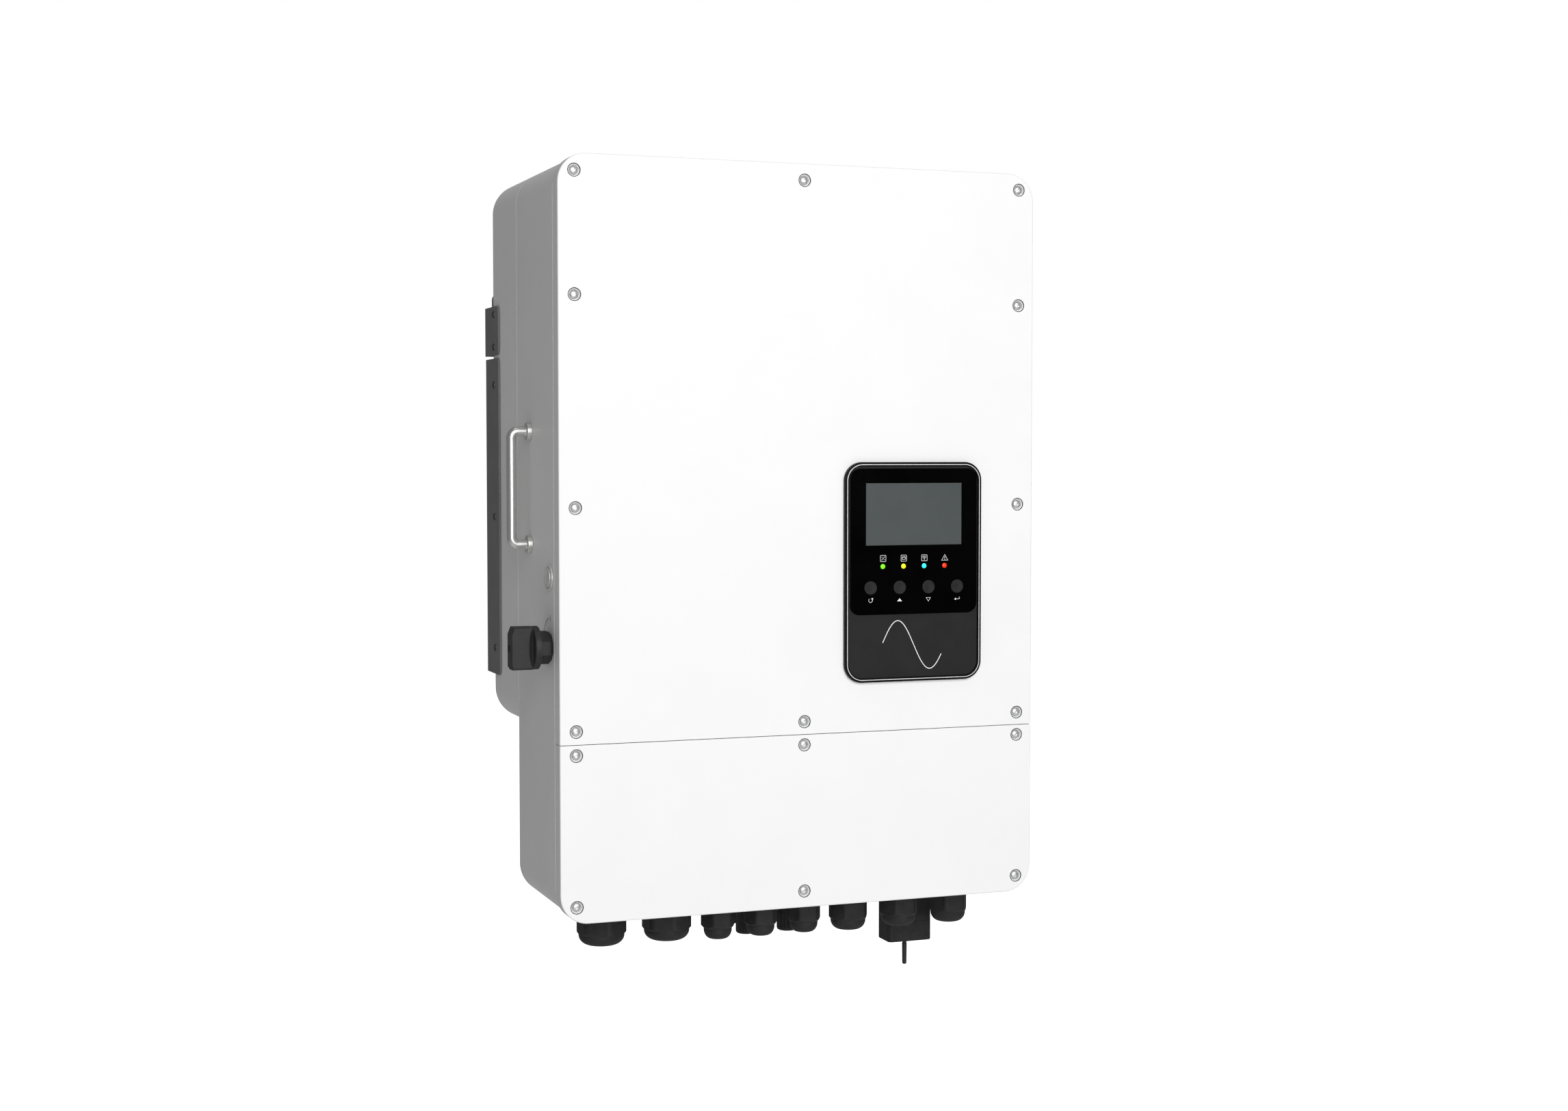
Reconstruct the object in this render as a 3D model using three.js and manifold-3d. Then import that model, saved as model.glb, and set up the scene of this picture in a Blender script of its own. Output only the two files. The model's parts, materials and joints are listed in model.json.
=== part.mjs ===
// A wall-hung hybrid string inverter. Millimetres, +Z up. The wall is the plane y = 0 and the
// inverter faces -Y. The origin is the middle of the wall bracket's wall face.
import * as THREE from 'three';
import { mergeVertices } from 'three/addons/utils/BufferGeometryUtils.js';
import Module from 'manifold-3d';

// ---- driving dimensions ----

// the box as a whole
const boxWidth = 428;
const boxHeight = 630.2;
const cornerRadius = 24; // of the covers, seen from the front
const bodyCornerExtra = 4; // the two housings' corners are rounder by this
const sheet = 2; // thickness of the covers' sheet
const wall = 2.5; // thickness of the two housings' walls
const gap = 0.3; // clearance between pieces that touch
const over = 1; // how far a cutting tool runs past the face it cuts
const weld = 0.5; // how deep a solid sinks into the one it is joined to

// depths, from the wall outwards
const standOff = 24.6; // wall to the back of the rear housing
const fanSize = 80;
const fanRoom = 14; // the rear housing is deeper than a fan by this
const rearRound = 6; // rounding of the rear housing's back edges
const seam = 0.4; // between the rear housing and the main body
const bodyDepth = 124.4;
const gasketSpace = 1.6; // between the main body and the covers' rims
const coverDepth = 15;

// heights
const topAboveBracket = 126.6; // top of the box above the wall bracket's middle
const lowerCoverHeight = 148.2; // with the cable space behind it
const coverSplit = 0.6; // gap between the two covers
const rearBelowSplit = 2.5; // the rear housing ends this far below the split
const edgeRound = 1.2; // rounding of the covers' front edges

// cover screws
const screwInset = 14;
const screwRowShares = [0.20809, 0.56805]; // of the upper cover's height, below the top row
const splitInsetAbove = 10.9;
const splitInsetBelow = 8.9;
const screwHole = 4.6;
const counterbore = 11;
const counterboreDepth = 3;
const bossWall = 2; // metal left round a counterbore
const flangeWidth = 22; // inward flange of the main body that the covers screw to
const flangeThickness = 3;
const flangeCorner = 4;
const threadHole = 4;
const gasketWidth = 6;
const gasketInset = 0.8;
const shelfThickness = 3; // between the electronics above and the cable space below
const cableWindowWidth = 120; // opening in the shelf for wires
const cableWindowDepth = 30;

// display module on the upper cover, built up from its liquid-crystal panel
const displayShareX = 0.23201; // of the box's width, right of the middle
const displayAboveSplit = 136.9;
const lcdWidth = 90;
const lcdHeight = 53.7;
const lcdSunk = 0.2; // below the glass
const glassSideMargin = 14.45; // beside the panel
const lcdBelowGlassTop = 12.3;
const lampBelowLcd = 17.9;
const keyBelowLamp = 18.2;
const glassBelowKeys = 23.1;
const glassRadius = 9;
const glassThickness = 0.9;
const faceSideMargin = 4.5; // beside the glass
const glassTopInset = 5.5; // glass edge below the module's top edge
const faceBelowGlass = 58.1;
const facePlateThickness = 1.1;
const displayRadius = 16;
const displayProud = 4.2; // how far its frame stands out of the cover
const bezelFrame = 3.4; // width of the raised frame
const bezelRound = 1;
const bezelFloor = 1.2;
const bezelLip = 8.2; // the frame and the ledge inside it
const bezelTubWall = 1.8;
const bezelTubDepth = 7;
const keyPitch = 27.03;
const keyDiameter = 11.6;
const keyStem = 5;
const keyProud = 0.9; // above the glass
const keyTravel = 0.6;
const lampPitch = 19.3;
const lampDiameter = 4.2;
const lampProud = 0.2;
const boardThickness = 1.6;

// carrying handles, one on each side
const handleCentres = 96;
const handleShareZ = 0.56577; // of the upper cover's height, below the top
const handleShareY = 0.61977; // of the main body's depth, behind its front
const handleReach = 16.8; // wall to the middle of the bar
const handleRod = 8.4;
const handleBend = 5.6;
const handleFoot = 15.4;
const handleFootThickness = 3.9;

// power button and battery/solar isolator, left side
const buttonAboveSplit = 136.1;
const buttonBezel = 22;
const buttonSeat = 1.8; // how far the bezel's rim overlaps the wall
const buttonRim = 3; // width of the rim round the cap
const buttonProud = 1.8;
const buttonCapProud = 0.5; // beyond the bezel
const buttonTravel = 2;
const buttonWell = 9; // depth of the bezel's bore inside the wall
const buttonFloor = 2;
const switchAboveSplit = 78.7;
const switchCollarFlats = 26.8;
const switchCollarDepth = 10.6;
const switchDiscDiameter = 36;
const switchDiscDepth = 5.6;
const switchGripWidth = 12.6;
const switchGripLength = 36;
const switchGripReach = 35; // wall to the end of the grip
const switchGripBevel = 3;
const switchGripRound = 1;
const switchShank = 18;
const switchBlockSide = 38; // the switch block inside the housing
const switchBlockHeight = 46;

// underside: cable glands, solar connectors and the data logger
const glandShareY = 0.34887; // of the main body's depth, behind its front
const batteryGland = { flats: 39, dome: 39.2, nut: 21.9, turn: -23.6 };
const signalGland = { flats: 27, dome: 24.6, nut: 24.8, turn: -3 };
const gridGland = { flats: 32.2, dome: 31.2, nut: 25.5, turn: 0 };
const glands = [
  { name: 'battery_positive', shareX: -0.37991, size: batteryGland },
  { name: 'battery_negative', shareX: -0.24416, size: batteryGland },
  { name: 'meter', shareX: -0.13528, size: signalGland },
  { name: 'can', shareX: -0.04276, size: signalGland },
  { name: 'parallel', shareX: 0.05187, size: signalGland },
  { name: 'grid', shareX: 0.15023, size: gridGland },
  { name: 'backup', shareX: 0.26379, size: gridGland },
  { name: 'generator', shareX: 0.3778, size: gridGland },
];
const glandFlange = 4;
const glandDomeHeight = 9.2;
const glandThreadShare = 0.66; // thread diameter as a share of the distance across the flats
const glandThreadReach = 0.6; // of the nut's length
const glandMouthShare = 0.52; // mouth diameter as a share of the dome's
const glandMouthRim = 1.2;
const glandMouthDepth = 2.2;
const glandNoseStep = 1; // straight part below the nut's chamfer
const lockNutThickness = 5;
const solarSharesX = [-0.04089, 0.05023];
const solarRows = [{ shareY: 0.67042, length: 40.6 }, { shareY: 0.8955, length: 36.5 }];
const solarBarrel = 18.8;
const solarShank = 14.8;
const solarFlange = 23;
const solarFlangeThickness = 6;
const solarTaper = 1.2;
const solarInside = 8; // reach of the shank above the wall
const loggerShareX = 0.3278;
const loggerShareY = 0.73875;
const loggerWidth = 42.7;
const loggerDepth = 27;
const loggerCorner = 4;
const loggerBottom = 59.9; // below the box
const loggerNeck = 20;
const loggerNeckLength = 9;
const loggerShank = 16;
const loggerInside = 6;
const antennaDiameter = 4.6;
const antennaLength = 23.6;
const antennaTip = 1.4;

// rear: heat sink, fans, vents, shroud and hanging brackets
const heatSinkSideInset = 38;
const heatSinkDrop = 30; // its top below the top of the box
const heatSinkAboveBottom = 154.5; // above the rear housing's bottom
const heatSinkBase = 8;
const finDepth = 62;
const finThickness = 2;
const finCount = 30;
const inductorSideInset = 64;
const inductorDepth = 64;
const inductorHeight = 62;
const inductorBelowSink = 8;
const inductorPot = 44;
const inductorPotDepth = 6;
const fanThickness = 25;
const fanShareX = 0.21028; // fan middle from the centre line, as a share of the box's width
const fanFrameWall = 3; // thinnest part of the frame round the bore
const fanCorner = 5;
const fanHub = 34;
const fanArm = 4;
const fanPlateThickness = 2.4;
const fanScrewInset = 4.25;
const fanScrewHole = 4.3;
const fanBlades = 7;
const fanTipGap = 1.2;
const fanRotorClear = 1;
const bladeWidth = 22;
const bladeThickness = 1.6;
const bladePitch = 40; // degrees
const ventWidth = 3.6;
const ventPitch = 7.6;
const ventLength = 52; // of the top vents
const topVentPitch = 17;
const ventSideInset = 44;
const strap = 1.6; // sheet of the shroud and of the hanger's side flanges
const strapDepth = 51; // depth of the side flanges
const strapCorner = 7;
const strapScrewFromFront = 17.5;
const strapScrewHole = 4.4;
const strapThread = 3.6;
const shroudBehind = 4.9; // wall to the back of the shroud
const shroudBelowHanger = 3;
const shroudAboveBottom = 41.1; // above the rear housing's bottom
const shroudScrewInset = 23.8;
const shroudSlotPitch = 24;
const shroudSlotLength = 80;
const shroudSlotLand = 28; // between two rows of slots
const hangerAboveBracket = 15.6; // top of its side flanges above the wall bracket's middle
const hangerHeight = 43.8;
const hangerScrewInset = 7.2;
const hangerPlate = 2.5;
const hangerPlateInset = 12;
const hangerRise = 6; // of its plate above the side flanges
const hangerTail = 16; // how far its plate reaches down inside the shroud
const hangerBridge = 16; // plate left above each window
const hangerWindowSide = 3; // room beside and below a hook in its window
const bracketSideInset = 5.5;
const bracketHeight = 60;
const bracketPlate = 3;
const anchorHole = 9;
const anchorEndInset = 28.5; // from the bracket's ends
const hookWidth = 40;
const hookRise = 12;
const hookThickness = 2.5;
const liftTravel = 14;

// inside the main body
const powerBoardInset = 24;
const powerBoardStandOff = 14;
const controlBoardWidth = 230;
const controlBoardHeight = 120;
const controlBoardBehind = 42; // behind the front
const controlBoardSideInset = 19.7; // from the box's right side
const capacitorDiameter = 30;
const capacitorHeight = 46;
const capacitorCount = 6;
const capacitorSpace = 6;
const capacitorDrop = 130;
const capacitorBase = 3;
const capacitorMargin = 4;
const terminalSideInset = 89;
const terminalDepth = 34;
const terminalHeight = 40;
const terminalWays = 10;
const terminalSlot = 2;
const terminalSlotDepth = 6;

// ---- places that follow from them ----

// a place given as a share of the box comes out in whole tenths of a millimetre
function tenth(value) {
  return Math.round(value * 10) / 10;
}

const zTop = topAboveBracket;
const zBottom = zTop - boxHeight;
const zSplit = zBottom + lowerCoverHeight;
const upperCoverHeight = zTop - zSplit;
const zRearBottom = zSplit - rearBelowSplit;
const rearDepth = fanSize + fanRoom;
const yRearBack = -standOff;
const yRearFront = yRearBack - rearDepth;
const yRearMiddle = (yRearFront + yRearBack) / 2;
const yBodyBack = yRearFront - seam;
const yBodyFront = yBodyBack - bodyDepth;
const yCoverBack = yBodyFront - gasketSpace;
const yFront = yCoverBack - coverDepth;
const halfWidth = boxWidth / 2;
const innerHalf = halfWidth - wall;
const bodyCornerRadius = cornerRadius + bodyCornerExtra;
const yFlangeBack = yBodyFront + flangeThickness;
const buttonShank = buttonBezel - 2 * buttonSeat;
const buttonCap = buttonBezel - 2 * buttonRim;
const yGlands = yBodyFront + tenth(glandShareY * bodyDepth);
const yControls = yFlangeBack + 2 * gap + buttonShank / 2;
const yHandle = yBodyFront + tenth(handleShareY * bodyDepth);
const zHandle = zTop - tenth(handleShareZ * upperCoverHeight);
const zButton = zSplit + buttonAboveSplit;
const zSwitch = zSplit + switchAboveSplit;
const glassWidth = lcdWidth + 2 * glassSideMargin;
const glassHeight = lcdBelowGlassTop + lcdHeight + lampBelowLcd + keyBelowLamp + glassBelowKeys;
const displayWidth = glassWidth + 2 * faceSideMargin;
const displayHeight = glassTopInset + glassHeight + faceBelowGlass;
const displayX = tenth(displayShareX * boxWidth);
const zDisplay = zSplit + displayAboveSplit;
const zGlassTop = zDisplay + displayHeight / 2 - glassTopInset;
const zLcdTop = zGlassTop - lcdBelowGlassTop;
const zLcdBottom = zLcdTop - lcdHeight;
const zLamps = zLcdBottom - lampBelowLcd;
const zKeys = zLamps - keyBelowLamp;
const yBezelFront = yFront - displayProud;
const yBezelFloor = yFront - gap - bezelFloor;
const yFacePlateBack = yBezelFloor - gap;
const yFacePlateFront = yFacePlateBack - facePlateThickness;
const yGlassBack = yFacePlateFront - gap;
const yGlassFront = yGlassBack - glassThickness;
const yDisplayBoard = yFront + bezelTubDepth - boardThickness;
const bezelTubInset = bezelLip - bezelTubWall;
const xLogger = tenth(loggerShareX * boxWidth);
const yLogger = yBodyFront + tenth(loggerShareY * bodyDepth);
const zHangerTop = hangerAboveBracket;
const zHangerBottom = zHangerTop - hangerHeight;
const zShroudTop = zHangerBottom - shroudBelowHanger;
const zShroudBottom = zRearBottom + shroudAboveBottom;
const zShroudMiddle = (zShroudTop + zShroudBottom) / 2;
const yShroudBack = -shroudBehind;
const yStrapFront = yShroudBack - strapDepth;
const yStrapScrew = yStrapFront + strapScrewFromFront;
const yHangerBack = yShroudBack - strap - gap;
const yHangerFront = yHangerBack - hangerPlate;
const hookZ = zHangerTop + hangerRise - hangerBridge; // seat of a hook, where the bridge rests
const bracketHalf = halfWidth - bracketSideInset;
const anchorPitch = (bracketHalf - anchorEndInset) * 2 / 3;
const fanBore = fanSize - 2 * fanFrameWall;
const fanX = tenth(fanShareX * boxWidth);
const yBackWall = yBodyBack - wall;
const yPowerBoard = yBackWall - powerBoardStandOff - boardThickness;

const upperScrews = [];
const lowerScrews = [];
for (const x of [-(halfWidth - screwInset), 0, halfWidth - screwInset]) {
  upperScrews.push({ x, z: zTop - screwInset }, { x, z: zSplit + splitInsetAbove });
  lowerScrews.push({ x, z: zSplit - splitInsetBelow }, { x, z: zBottom + screwInset });
  if (x !== 0) {
    for (const share of screwRowShares) {
      upperScrews.push({ x, z: zTop - screwInset - tenth(share * upperCoverHeight) });
    }
  }
}
const hangerScrewHeights = [zHangerTop - hangerScrewInset, zHangerBottom + hangerScrewInset];
const shroudScrewHeights = [zShroudTop - shroudScrewInset, zShroudMiddle, zShroudBottom + shroudScrewInset];

// places in a row of four, evenly spaced about the display's middle
function rowOfFour(pitch) {
  return [-1.5, -0.5, 0.5, 1.5].map((step) => displayX + step * pitch);
}

const keyXs = rowOfFour(keyPitch);
const lampXs = rowOfFour(lampPitch);

// ---- solids: three.js shapes, joined and cut by manifold-3d ----

const wasm = await Module();
wasm.setup();

// vertices sit on a grid of a thousandth of a millimetre, so faces meant to be flush are flush
function snap(value) {
  return Math.round(value * 1000) / 1000;
}

function solidOf(geometry) {
  const bare = geometry.clone();
  bare.deleteAttribute('normal');
  bare.deleteAttribute('uv');
  const merged = mergeVertices(bare, 1e-4);
  const triangles = [];
  for (let i = 0; i < merged.index.count; i += 3) {
    const [a, b, c] = [0, 1, 2].map((k) => merged.index.getX(i + k));
    if (a !== b && b !== c && c !== a) triangles.push(a, b, c);
  }
  return new wasm.Manifold(new wasm.Mesh({
    numProp: 3,
    vertProperties: new Float32Array(merged.attributes.position.array).map(snap),
    triVerts: new Uint32Array(triangles),
  }));
}

function geometryOf(solid) {
  const mesh = solid.getMesh();
  const geometry = new THREE.BufferGeometry();
  geometry.setAttribute('position', new THREE.BufferAttribute(mesh.vertProperties, 3));
  geometry.setIndex(new THREE.BufferAttribute(mesh.triVerts, 1));
  const faceted = geometry.toNonIndexed();
  faceted.computeVertexNormals();
  return faceted;
}

function join(...solids) {
  return solids.reduce((whole, piece) => whole.add(piece));
}

function cut(whole, ...tools) {
  return tools.reduce((rest, tool) => rest.subtract(tool), whole);
}

function box(x0, x1, y0, y1, z0, z1) {
  const geometry = new THREE.BoxGeometry(x1 - x0, y1 - y0, z1 - z0);
  geometry.translate((x0 + x1) / 2, (y0 + y1) / 2, (z0 + z1) / 2);
  return solidOf(geometry);
}

// a rectangle with rounded corners in the x-z plane; radii are [top, bottom] or one number
function roundedRect(x0, x1, z0, z1, radii) {
  const [top, bottom] = Array.isArray(radii) ? radii : [radii, radii];
  const shape = new THREE.Shape();
  const corner = (x, z, radius, start) => {
    if (radius > 0) shape.absarc(x, z, radius, start, start + Math.PI / 2);
    else shape.lineTo(x, z);
  };
  shape.moveTo((x0 + x1) / 2, z0);
  corner(x1 - bottom, z0 + bottom, bottom, -Math.PI / 2);
  corner(x1 - top, z1 - top, top, 0);
  corner(x0 + top, z1 - top, top, Math.PI / 2);
  corner(x0 + bottom, z0 + bottom, bottom, Math.PI);
  shape.closePath();
  return shape;
}

// a shape in the x-z plane given thickness along y, with rounded front and back edges if asked
function slab(shape, y0, y1, round = 0, arcSteps = 3) {
  const geometry = new THREE.ExtrudeGeometry(shape, {
    depth: y1 - y0 - 2 * round,
    curveSegments: arcSteps,
    bevelEnabled: round > 0,
    bevelThickness: round,
    bevelSize: round,
    bevelOffset: -round,
    bevelSegments: 2,
  });
  geometry.rotateX(Math.PI / 2);
  geometry.translate(0, y1 - round, 0);
  return solidOf(geometry);
}

// a shape in the y-z plane given thickness along x
function sideSlab(shape, x0, x1) {
  const geometry = new THREE.ExtrudeGeometry(shape, {
    depth: x1 - x0,
    curveSegments: 3,
    bevelEnabled: false,
  });
  geometry.rotateX(Math.PI / 2);
  geometry.rotateZ(Math.PI / 2);
  geometry.translate(x0, 0, 0);
  return solidOf(geometry);
}

// a shape in the x-y plane given height along z
function upSlab(shape, z0, z1, arcSteps = 4) {
  const geometry = new THREE.ExtrudeGeometry(shape, {
    depth: z1 - z0,
    curveSegments: arcSteps,
    bevelEnabled: false,
  });
  geometry.translate(0, 0, z0);
  return solidOf(geometry);
}

function rodX(x0, x1, y, z, diameter, sides = 20) {
  const geometry = new THREE.CylinderGeometry(diameter / 2, diameter / 2, x1 - x0, sides);
  geometry.rotateZ(Math.PI / 2);
  geometry.translate((x0 + x1) / 2, y, z);
  return solidOf(geometry);
}

function rodY(x, y0, y1, z, diameter, sides = 20) {
  const geometry = new THREE.CylinderGeometry(diameter / 2, diameter / 2, y1 - y0, sides);
  geometry.translate(x, (y0 + y1) / 2, z);
  return solidOf(geometry);
}

function rodZ(x, y, z0, z1, diameter, sides = 20) {
  const geometry = new THREE.CylinderGeometry(diameter / 2, diameter / 2, z1 - z0, sides);
  geometry.rotateX(Math.PI / 2);
  geometry.translate(x, y, (z0 + z1) / 2);
  return solidOf(geometry);
}

// a prism with flat sides, upright, the first flat turned away from -Y by turn degrees
function prismZ(x, y, z0, z1, acrossFlats, sides, turn = 0) {
  const radius = acrossFlats / 2 / Math.cos(Math.PI / sides);
  const geometry = new THREE.CylinderGeometry(radius, radius, z1 - z0, sides);
  geometry.rotateX(Math.PI / 2);
  geometry.rotateZ(Math.PI / sides + THREE.MathUtils.degToRad(turn));
  geometry.translate(x, y, (z0 + z1) / 2);
  return solidOf(geometry);
}

// a round solid about the z axis at x, y; the profile is a list of [radius, z] from top to bottom
function turnedZ(profile, x, y, sides = 24) {
  const points = profile.map(([radius, z]) => new THREE.Vector2(radius, z)).reverse();
  const geometry = new THREE.LatheGeometry(points, sides);
  geometry.rotateX(Math.PI / 2);
  geometry.translate(x, y, 0);
  return solidOf(geometry);
}

// ---- the object ----

const inverter = new THREE.Group();
inverter.name = 'string_inverter';

function add(name, solid, color, roughness, metalness = 0) {
  const material = new THREE.MeshStandardMaterial({ color, roughness, metalness });
  const mesh = new THREE.Mesh(geometryOf(solid), material);
  mesh.name = name;
  inverter.add(mesh);
  return mesh;
}

const white = 0xf2f2f2;
const darkSheet = 0x515151;
const blackNylon = 0x2e2e2e;
const steel = 0xc8c8c8;

// covers: trays of bent sheet with a boss at each screw
function cover(zLow, zHigh, radii, screws) {
  const block = slab(roundedRect(-halfWidth, halfWidth, zBottom, zTop, cornerRadius), yFront,
    yCoverBack + 2 * edgeRound, edgeRound, 4);
  const keep = box(-halfWidth - over, halfWidth + over, yFront - over, yCoverBack, zLow, zHigh);
  const innerRadii = radii.map((radius) => Math.max(radius - sheet, 0));
  const hollow = slab(roundedRect(-halfWidth + sheet, halfWidth - sheet, zLow + sheet, zHigh - sheet,
    innerRadii), yFront + sheet, yCoverBack + over, 0, 4);
  const bosses = screws.map(({ x, z }) => rodY(x, yFront + sheet / 2, yCoverBack, z,
    counterbore + 2 * bossWall, 8));
  const pockets = screws.map(({ x, z }) => rodY(x, yFront - over, yFront + counterboreDepth, z,
    counterbore, 12));
  const holes = screws.map(({ x, z }) => rodY(x, yFront + sheet / 2, yCoverBack + over, z, screwHole, 6));
  return cut(join(block.intersect(keep).subtract(hollow), ...bosses), ...pockets, ...holes);
}

// everything round the display shares this outline, stepped in from the module's edge
function displayOutline(inset) {
  return roundedRect(displayX - displayWidth / 2 + inset, displayX + displayWidth / 2 - inset,
    zDisplay - displayHeight / 2 + inset, zDisplay + displayHeight / 2 - inset,
    displayRadius - inset);
}

function upperCover() {
  const tray = cover(zSplit + coverSplit / 2, zTop, [cornerRadius, 0], upperScrews);
  const window = slab(displayOutline(bezelTubInset - gap), yFront - over, yFront + sheet + over);
  return cut(tray, window);
}

add('front_cover_upper', upperCover(), white, 0.45);
add('front_cover_lower', cover(zBottom, zSplit - coverSplit / 2, [0, cornerRadius], lowerScrews),
  white, 0.45);

// gaskets between the covers' rims and the main body
function gasket(zLow, zHigh, radii) {
  const y0 = yCoverBack + gap;
  const y1 = yBodyFront - gap;
  const ring = (inset) => roundedRect(-halfWidth + inset, halfWidth - inset, zLow + inset, zHigh - inset,
    radii.map((radius) => Math.max(radius - inset, 0)));
  return cut(slab(ring(gasketInset), y0, y1), slab(ring(gasketInset + gasketWidth), y0 - over, y1 + over));
}

add('gasket_upper', gasket(zSplit + coverSplit / 2, zTop, [cornerRadius, 0]), 0x909090, 0.9);
add('gasket_lower', gasket(zBottom, zSplit - coverSplit / 2, [0, cornerRadius]), 0x909090, 0.9);

// main body: a welded box with an inward flange, a shelf behind the split and a plain back
function mainBody() {
  const outer = slab(roundedRect(-halfWidth, halfWidth, zBottom, zTop, bodyCornerRadius), yBodyFront,
    yBodyBack);
  const hollow = slab(roundedRect(-innerHalf, innerHalf, zBottom + wall, zTop - wall,
    bodyCornerRadius - wall), yFlangeBack, yBackWall);
  const shelf = box(-innerHalf - weld, innerHalf + weld, yBodyFront + weld, yBackWall + weld,
    zSplit - shelfThickness / 2, zSplit + shelfThickness / 2);
  const window = (zLow, zHigh) => slab(roundedRect(-halfWidth + flangeWidth, halfWidth - flangeWidth,
    zLow + flangeWidth, zHigh - flangeWidth, flangeCorner), yBodyFront - over, yFlangeBack + over, 0, 2);
  const yMiddle = (yBodyFront + yBodyBack) / 2;
  const shelfWindow = box(-cableWindowWidth / 2, cableWindowWidth / 2, yMiddle - cableWindowDepth / 2,
    yMiddle + cableWindowDepth / 2, zSplit - shelfThickness, zSplit + shelfThickness);
  const threads = [...upperScrews, ...lowerScrews].map(({ x, z }) => rodY(x, yBodyFront - over,
    yFlangeBack + over, z, threadHole, 6));
  const below = (x, y, diameter, sides) => rodZ(x, y, zBottom - over, zBottom + wall + over,
    diameter + 2 * gap, sides);
  const glandHoles = glands.map(({ shareX, size }) => below(tenth(shareX * boxWidth), yGlands,
    glandThread(size), 10));
  const solarHoles = solarPlaces().map(({ x, y }) => below(x, y, solarShank, 12));
  const beside = (z, diameter) => rodX(-halfWidth - over, -innerHalf + over, yControls, z,
    diameter + 2 * gap);
  return cut(join(cut(outer, hollow), shelf), shelfWindow, window(zSplit, zTop), window(zBottom, zSplit),
    ...threads, ...glandHoles, ...solarHoles, below(xLogger, yLogger, loggerShank, 12),
    beside(zButton, buttonShank), beside(zSwitch, switchShank));
}

function solarPlaces() {
  return solarRows.flatMap(({ shareY, length }, row) => solarSharesX.map((shareX, column) => ({
    name: `solar_connector_${row + 1}${'ab'[column]}`,
    x: tenth(shareX * boxWidth),
    y: yBodyFront + tenth(shareY * bodyDepth),
    length,
  })));
}

function glandThread(size) {
  return size.flats * glandThreadShare;
}

add('main_body', mainBody(), white, 0.45);

// rear housing: open to the main body, vents along its top and two fan vents in its bottom
function rearHousing() {
  const shape = roundedRect(-halfWidth, halfWidth, zRearBottom, zTop, bodyCornerRadius);
  const innerShape = roundedRect(-innerHalf, innerHalf, zRearBottom + wall, zTop - wall,
    bodyCornerRadius - wall);
  const outer = slab(shape, yRearFront - 2 * rearRound, yRearBack, rearRound);
  const keep = box(-halfWidth - over, halfWidth + over, yRearFront, yRearBack + over, zRearBottom - over,
    zTop + over);
  const cuts = [slab(innerShape, yRearFront - over, yRearBack - wall)];
  const slot = (x, half, z0, z1) => box(x - ventWidth / 2, x + ventWidth / 2, yRearMiddle - half,
    yRearMiddle + half, z0 - over, z1 + over);
  for (const x of slotPlaces(topVentPitch)) cuts.push(slot(x, ventLength / 2, zTop - wall, zTop));
  const reach = fanBore / 2;
  const fanVents = Math.floor(reach / ventPitch);
  for (const side of [-1, 1]) {
    for (let i = -fanVents; i <= fanVents; i += 1) {
      const offset = i * ventPitch;
      const half = Math.sqrt(reach * reach - offset * offset);
      cuts.push(slot(side * fanX + offset, half, zRearBottom, zRearBottom + wall));
    }
  }
  for (const z of [...hangerScrewHeights, ...shroudScrewHeights]) {
    cuts.push(rodX(-halfWidth - over, -innerHalf + over, yStrapScrew, z, strapThread, 8));
    cuts.push(rodX(innerHalf - over, halfWidth + over, yStrapScrew, z, strapThread, 8));
  }
  return cut(outer.intersect(keep), ...cuts);
}

// evenly spaced places across the middle of the box, kept clear of its sides
function slotPlaces(pitch) {
  const count = Math.floor((boxWidth - 2 * ventSideInset) / pitch);
  return Array.from({ length: count }, (_, i) => (i - (count - 1) / 2) * pitch);
}

add('rear_housing', rearHousing(), white, 0.45);

// heat sink on the main body's back, its fins reaching into the rear housing
const zSinkBottom = zRearBottom + heatSinkAboveBottom;

function heatSink() {
  const width = boxWidth - 2 * heatSinkSideInset;
  const y0 = yBodyBack + gap;
  const y1 = y0 + heatSinkBase;
  const y2 = y1 + finDepth;
  const pitch = (width - finThickness) / (finCount - 1);
  const comb = new THREE.Shape();
  comb.moveTo(-width / 2, y0);
  comb.lineTo(width / 2, y0);
  for (let i = finCount - 1; i >= 0; i -= 1) {
    const left = -width / 2 + i * pitch;
    if (i < finCount - 1) comb.lineTo(left + finThickness, y1);
    comb.lineTo(left + finThickness, y2);
    comb.lineTo(left, y2);
    if (i > 0) comb.lineTo(left, y1);
  }
  comb.closePath();
  return upSlab(comb, zSinkBottom, zTop - heatSinkDrop);
}

add('heat_sink', heatSink(), 0xb9bcc0, 0.5, 0.9);

// inductors potted in one block below the heat sink
function inductorBlock() {
  const width = boxWidth - 2 * inductorSideInset;
  const y0 = yBodyBack + gap;
  const y1 = y0 + inductorDepth;
  const z1 = zSinkBottom - inductorBelowSink;
  const pots = [-1, 0, 1].map((step) => rodY(step * width / 3, y1 - inductorPotDepth, y1 + over,
    z1 - inductorHeight / 2, inductorPot, 16));
  return cut(box(-width / 2, width / 2, y0, y1, z1 - inductorHeight, z1), ...pots);
}

add('inductor_block', inductorBlock(), 0x9a9da0, 0.6, 0.5);

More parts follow.
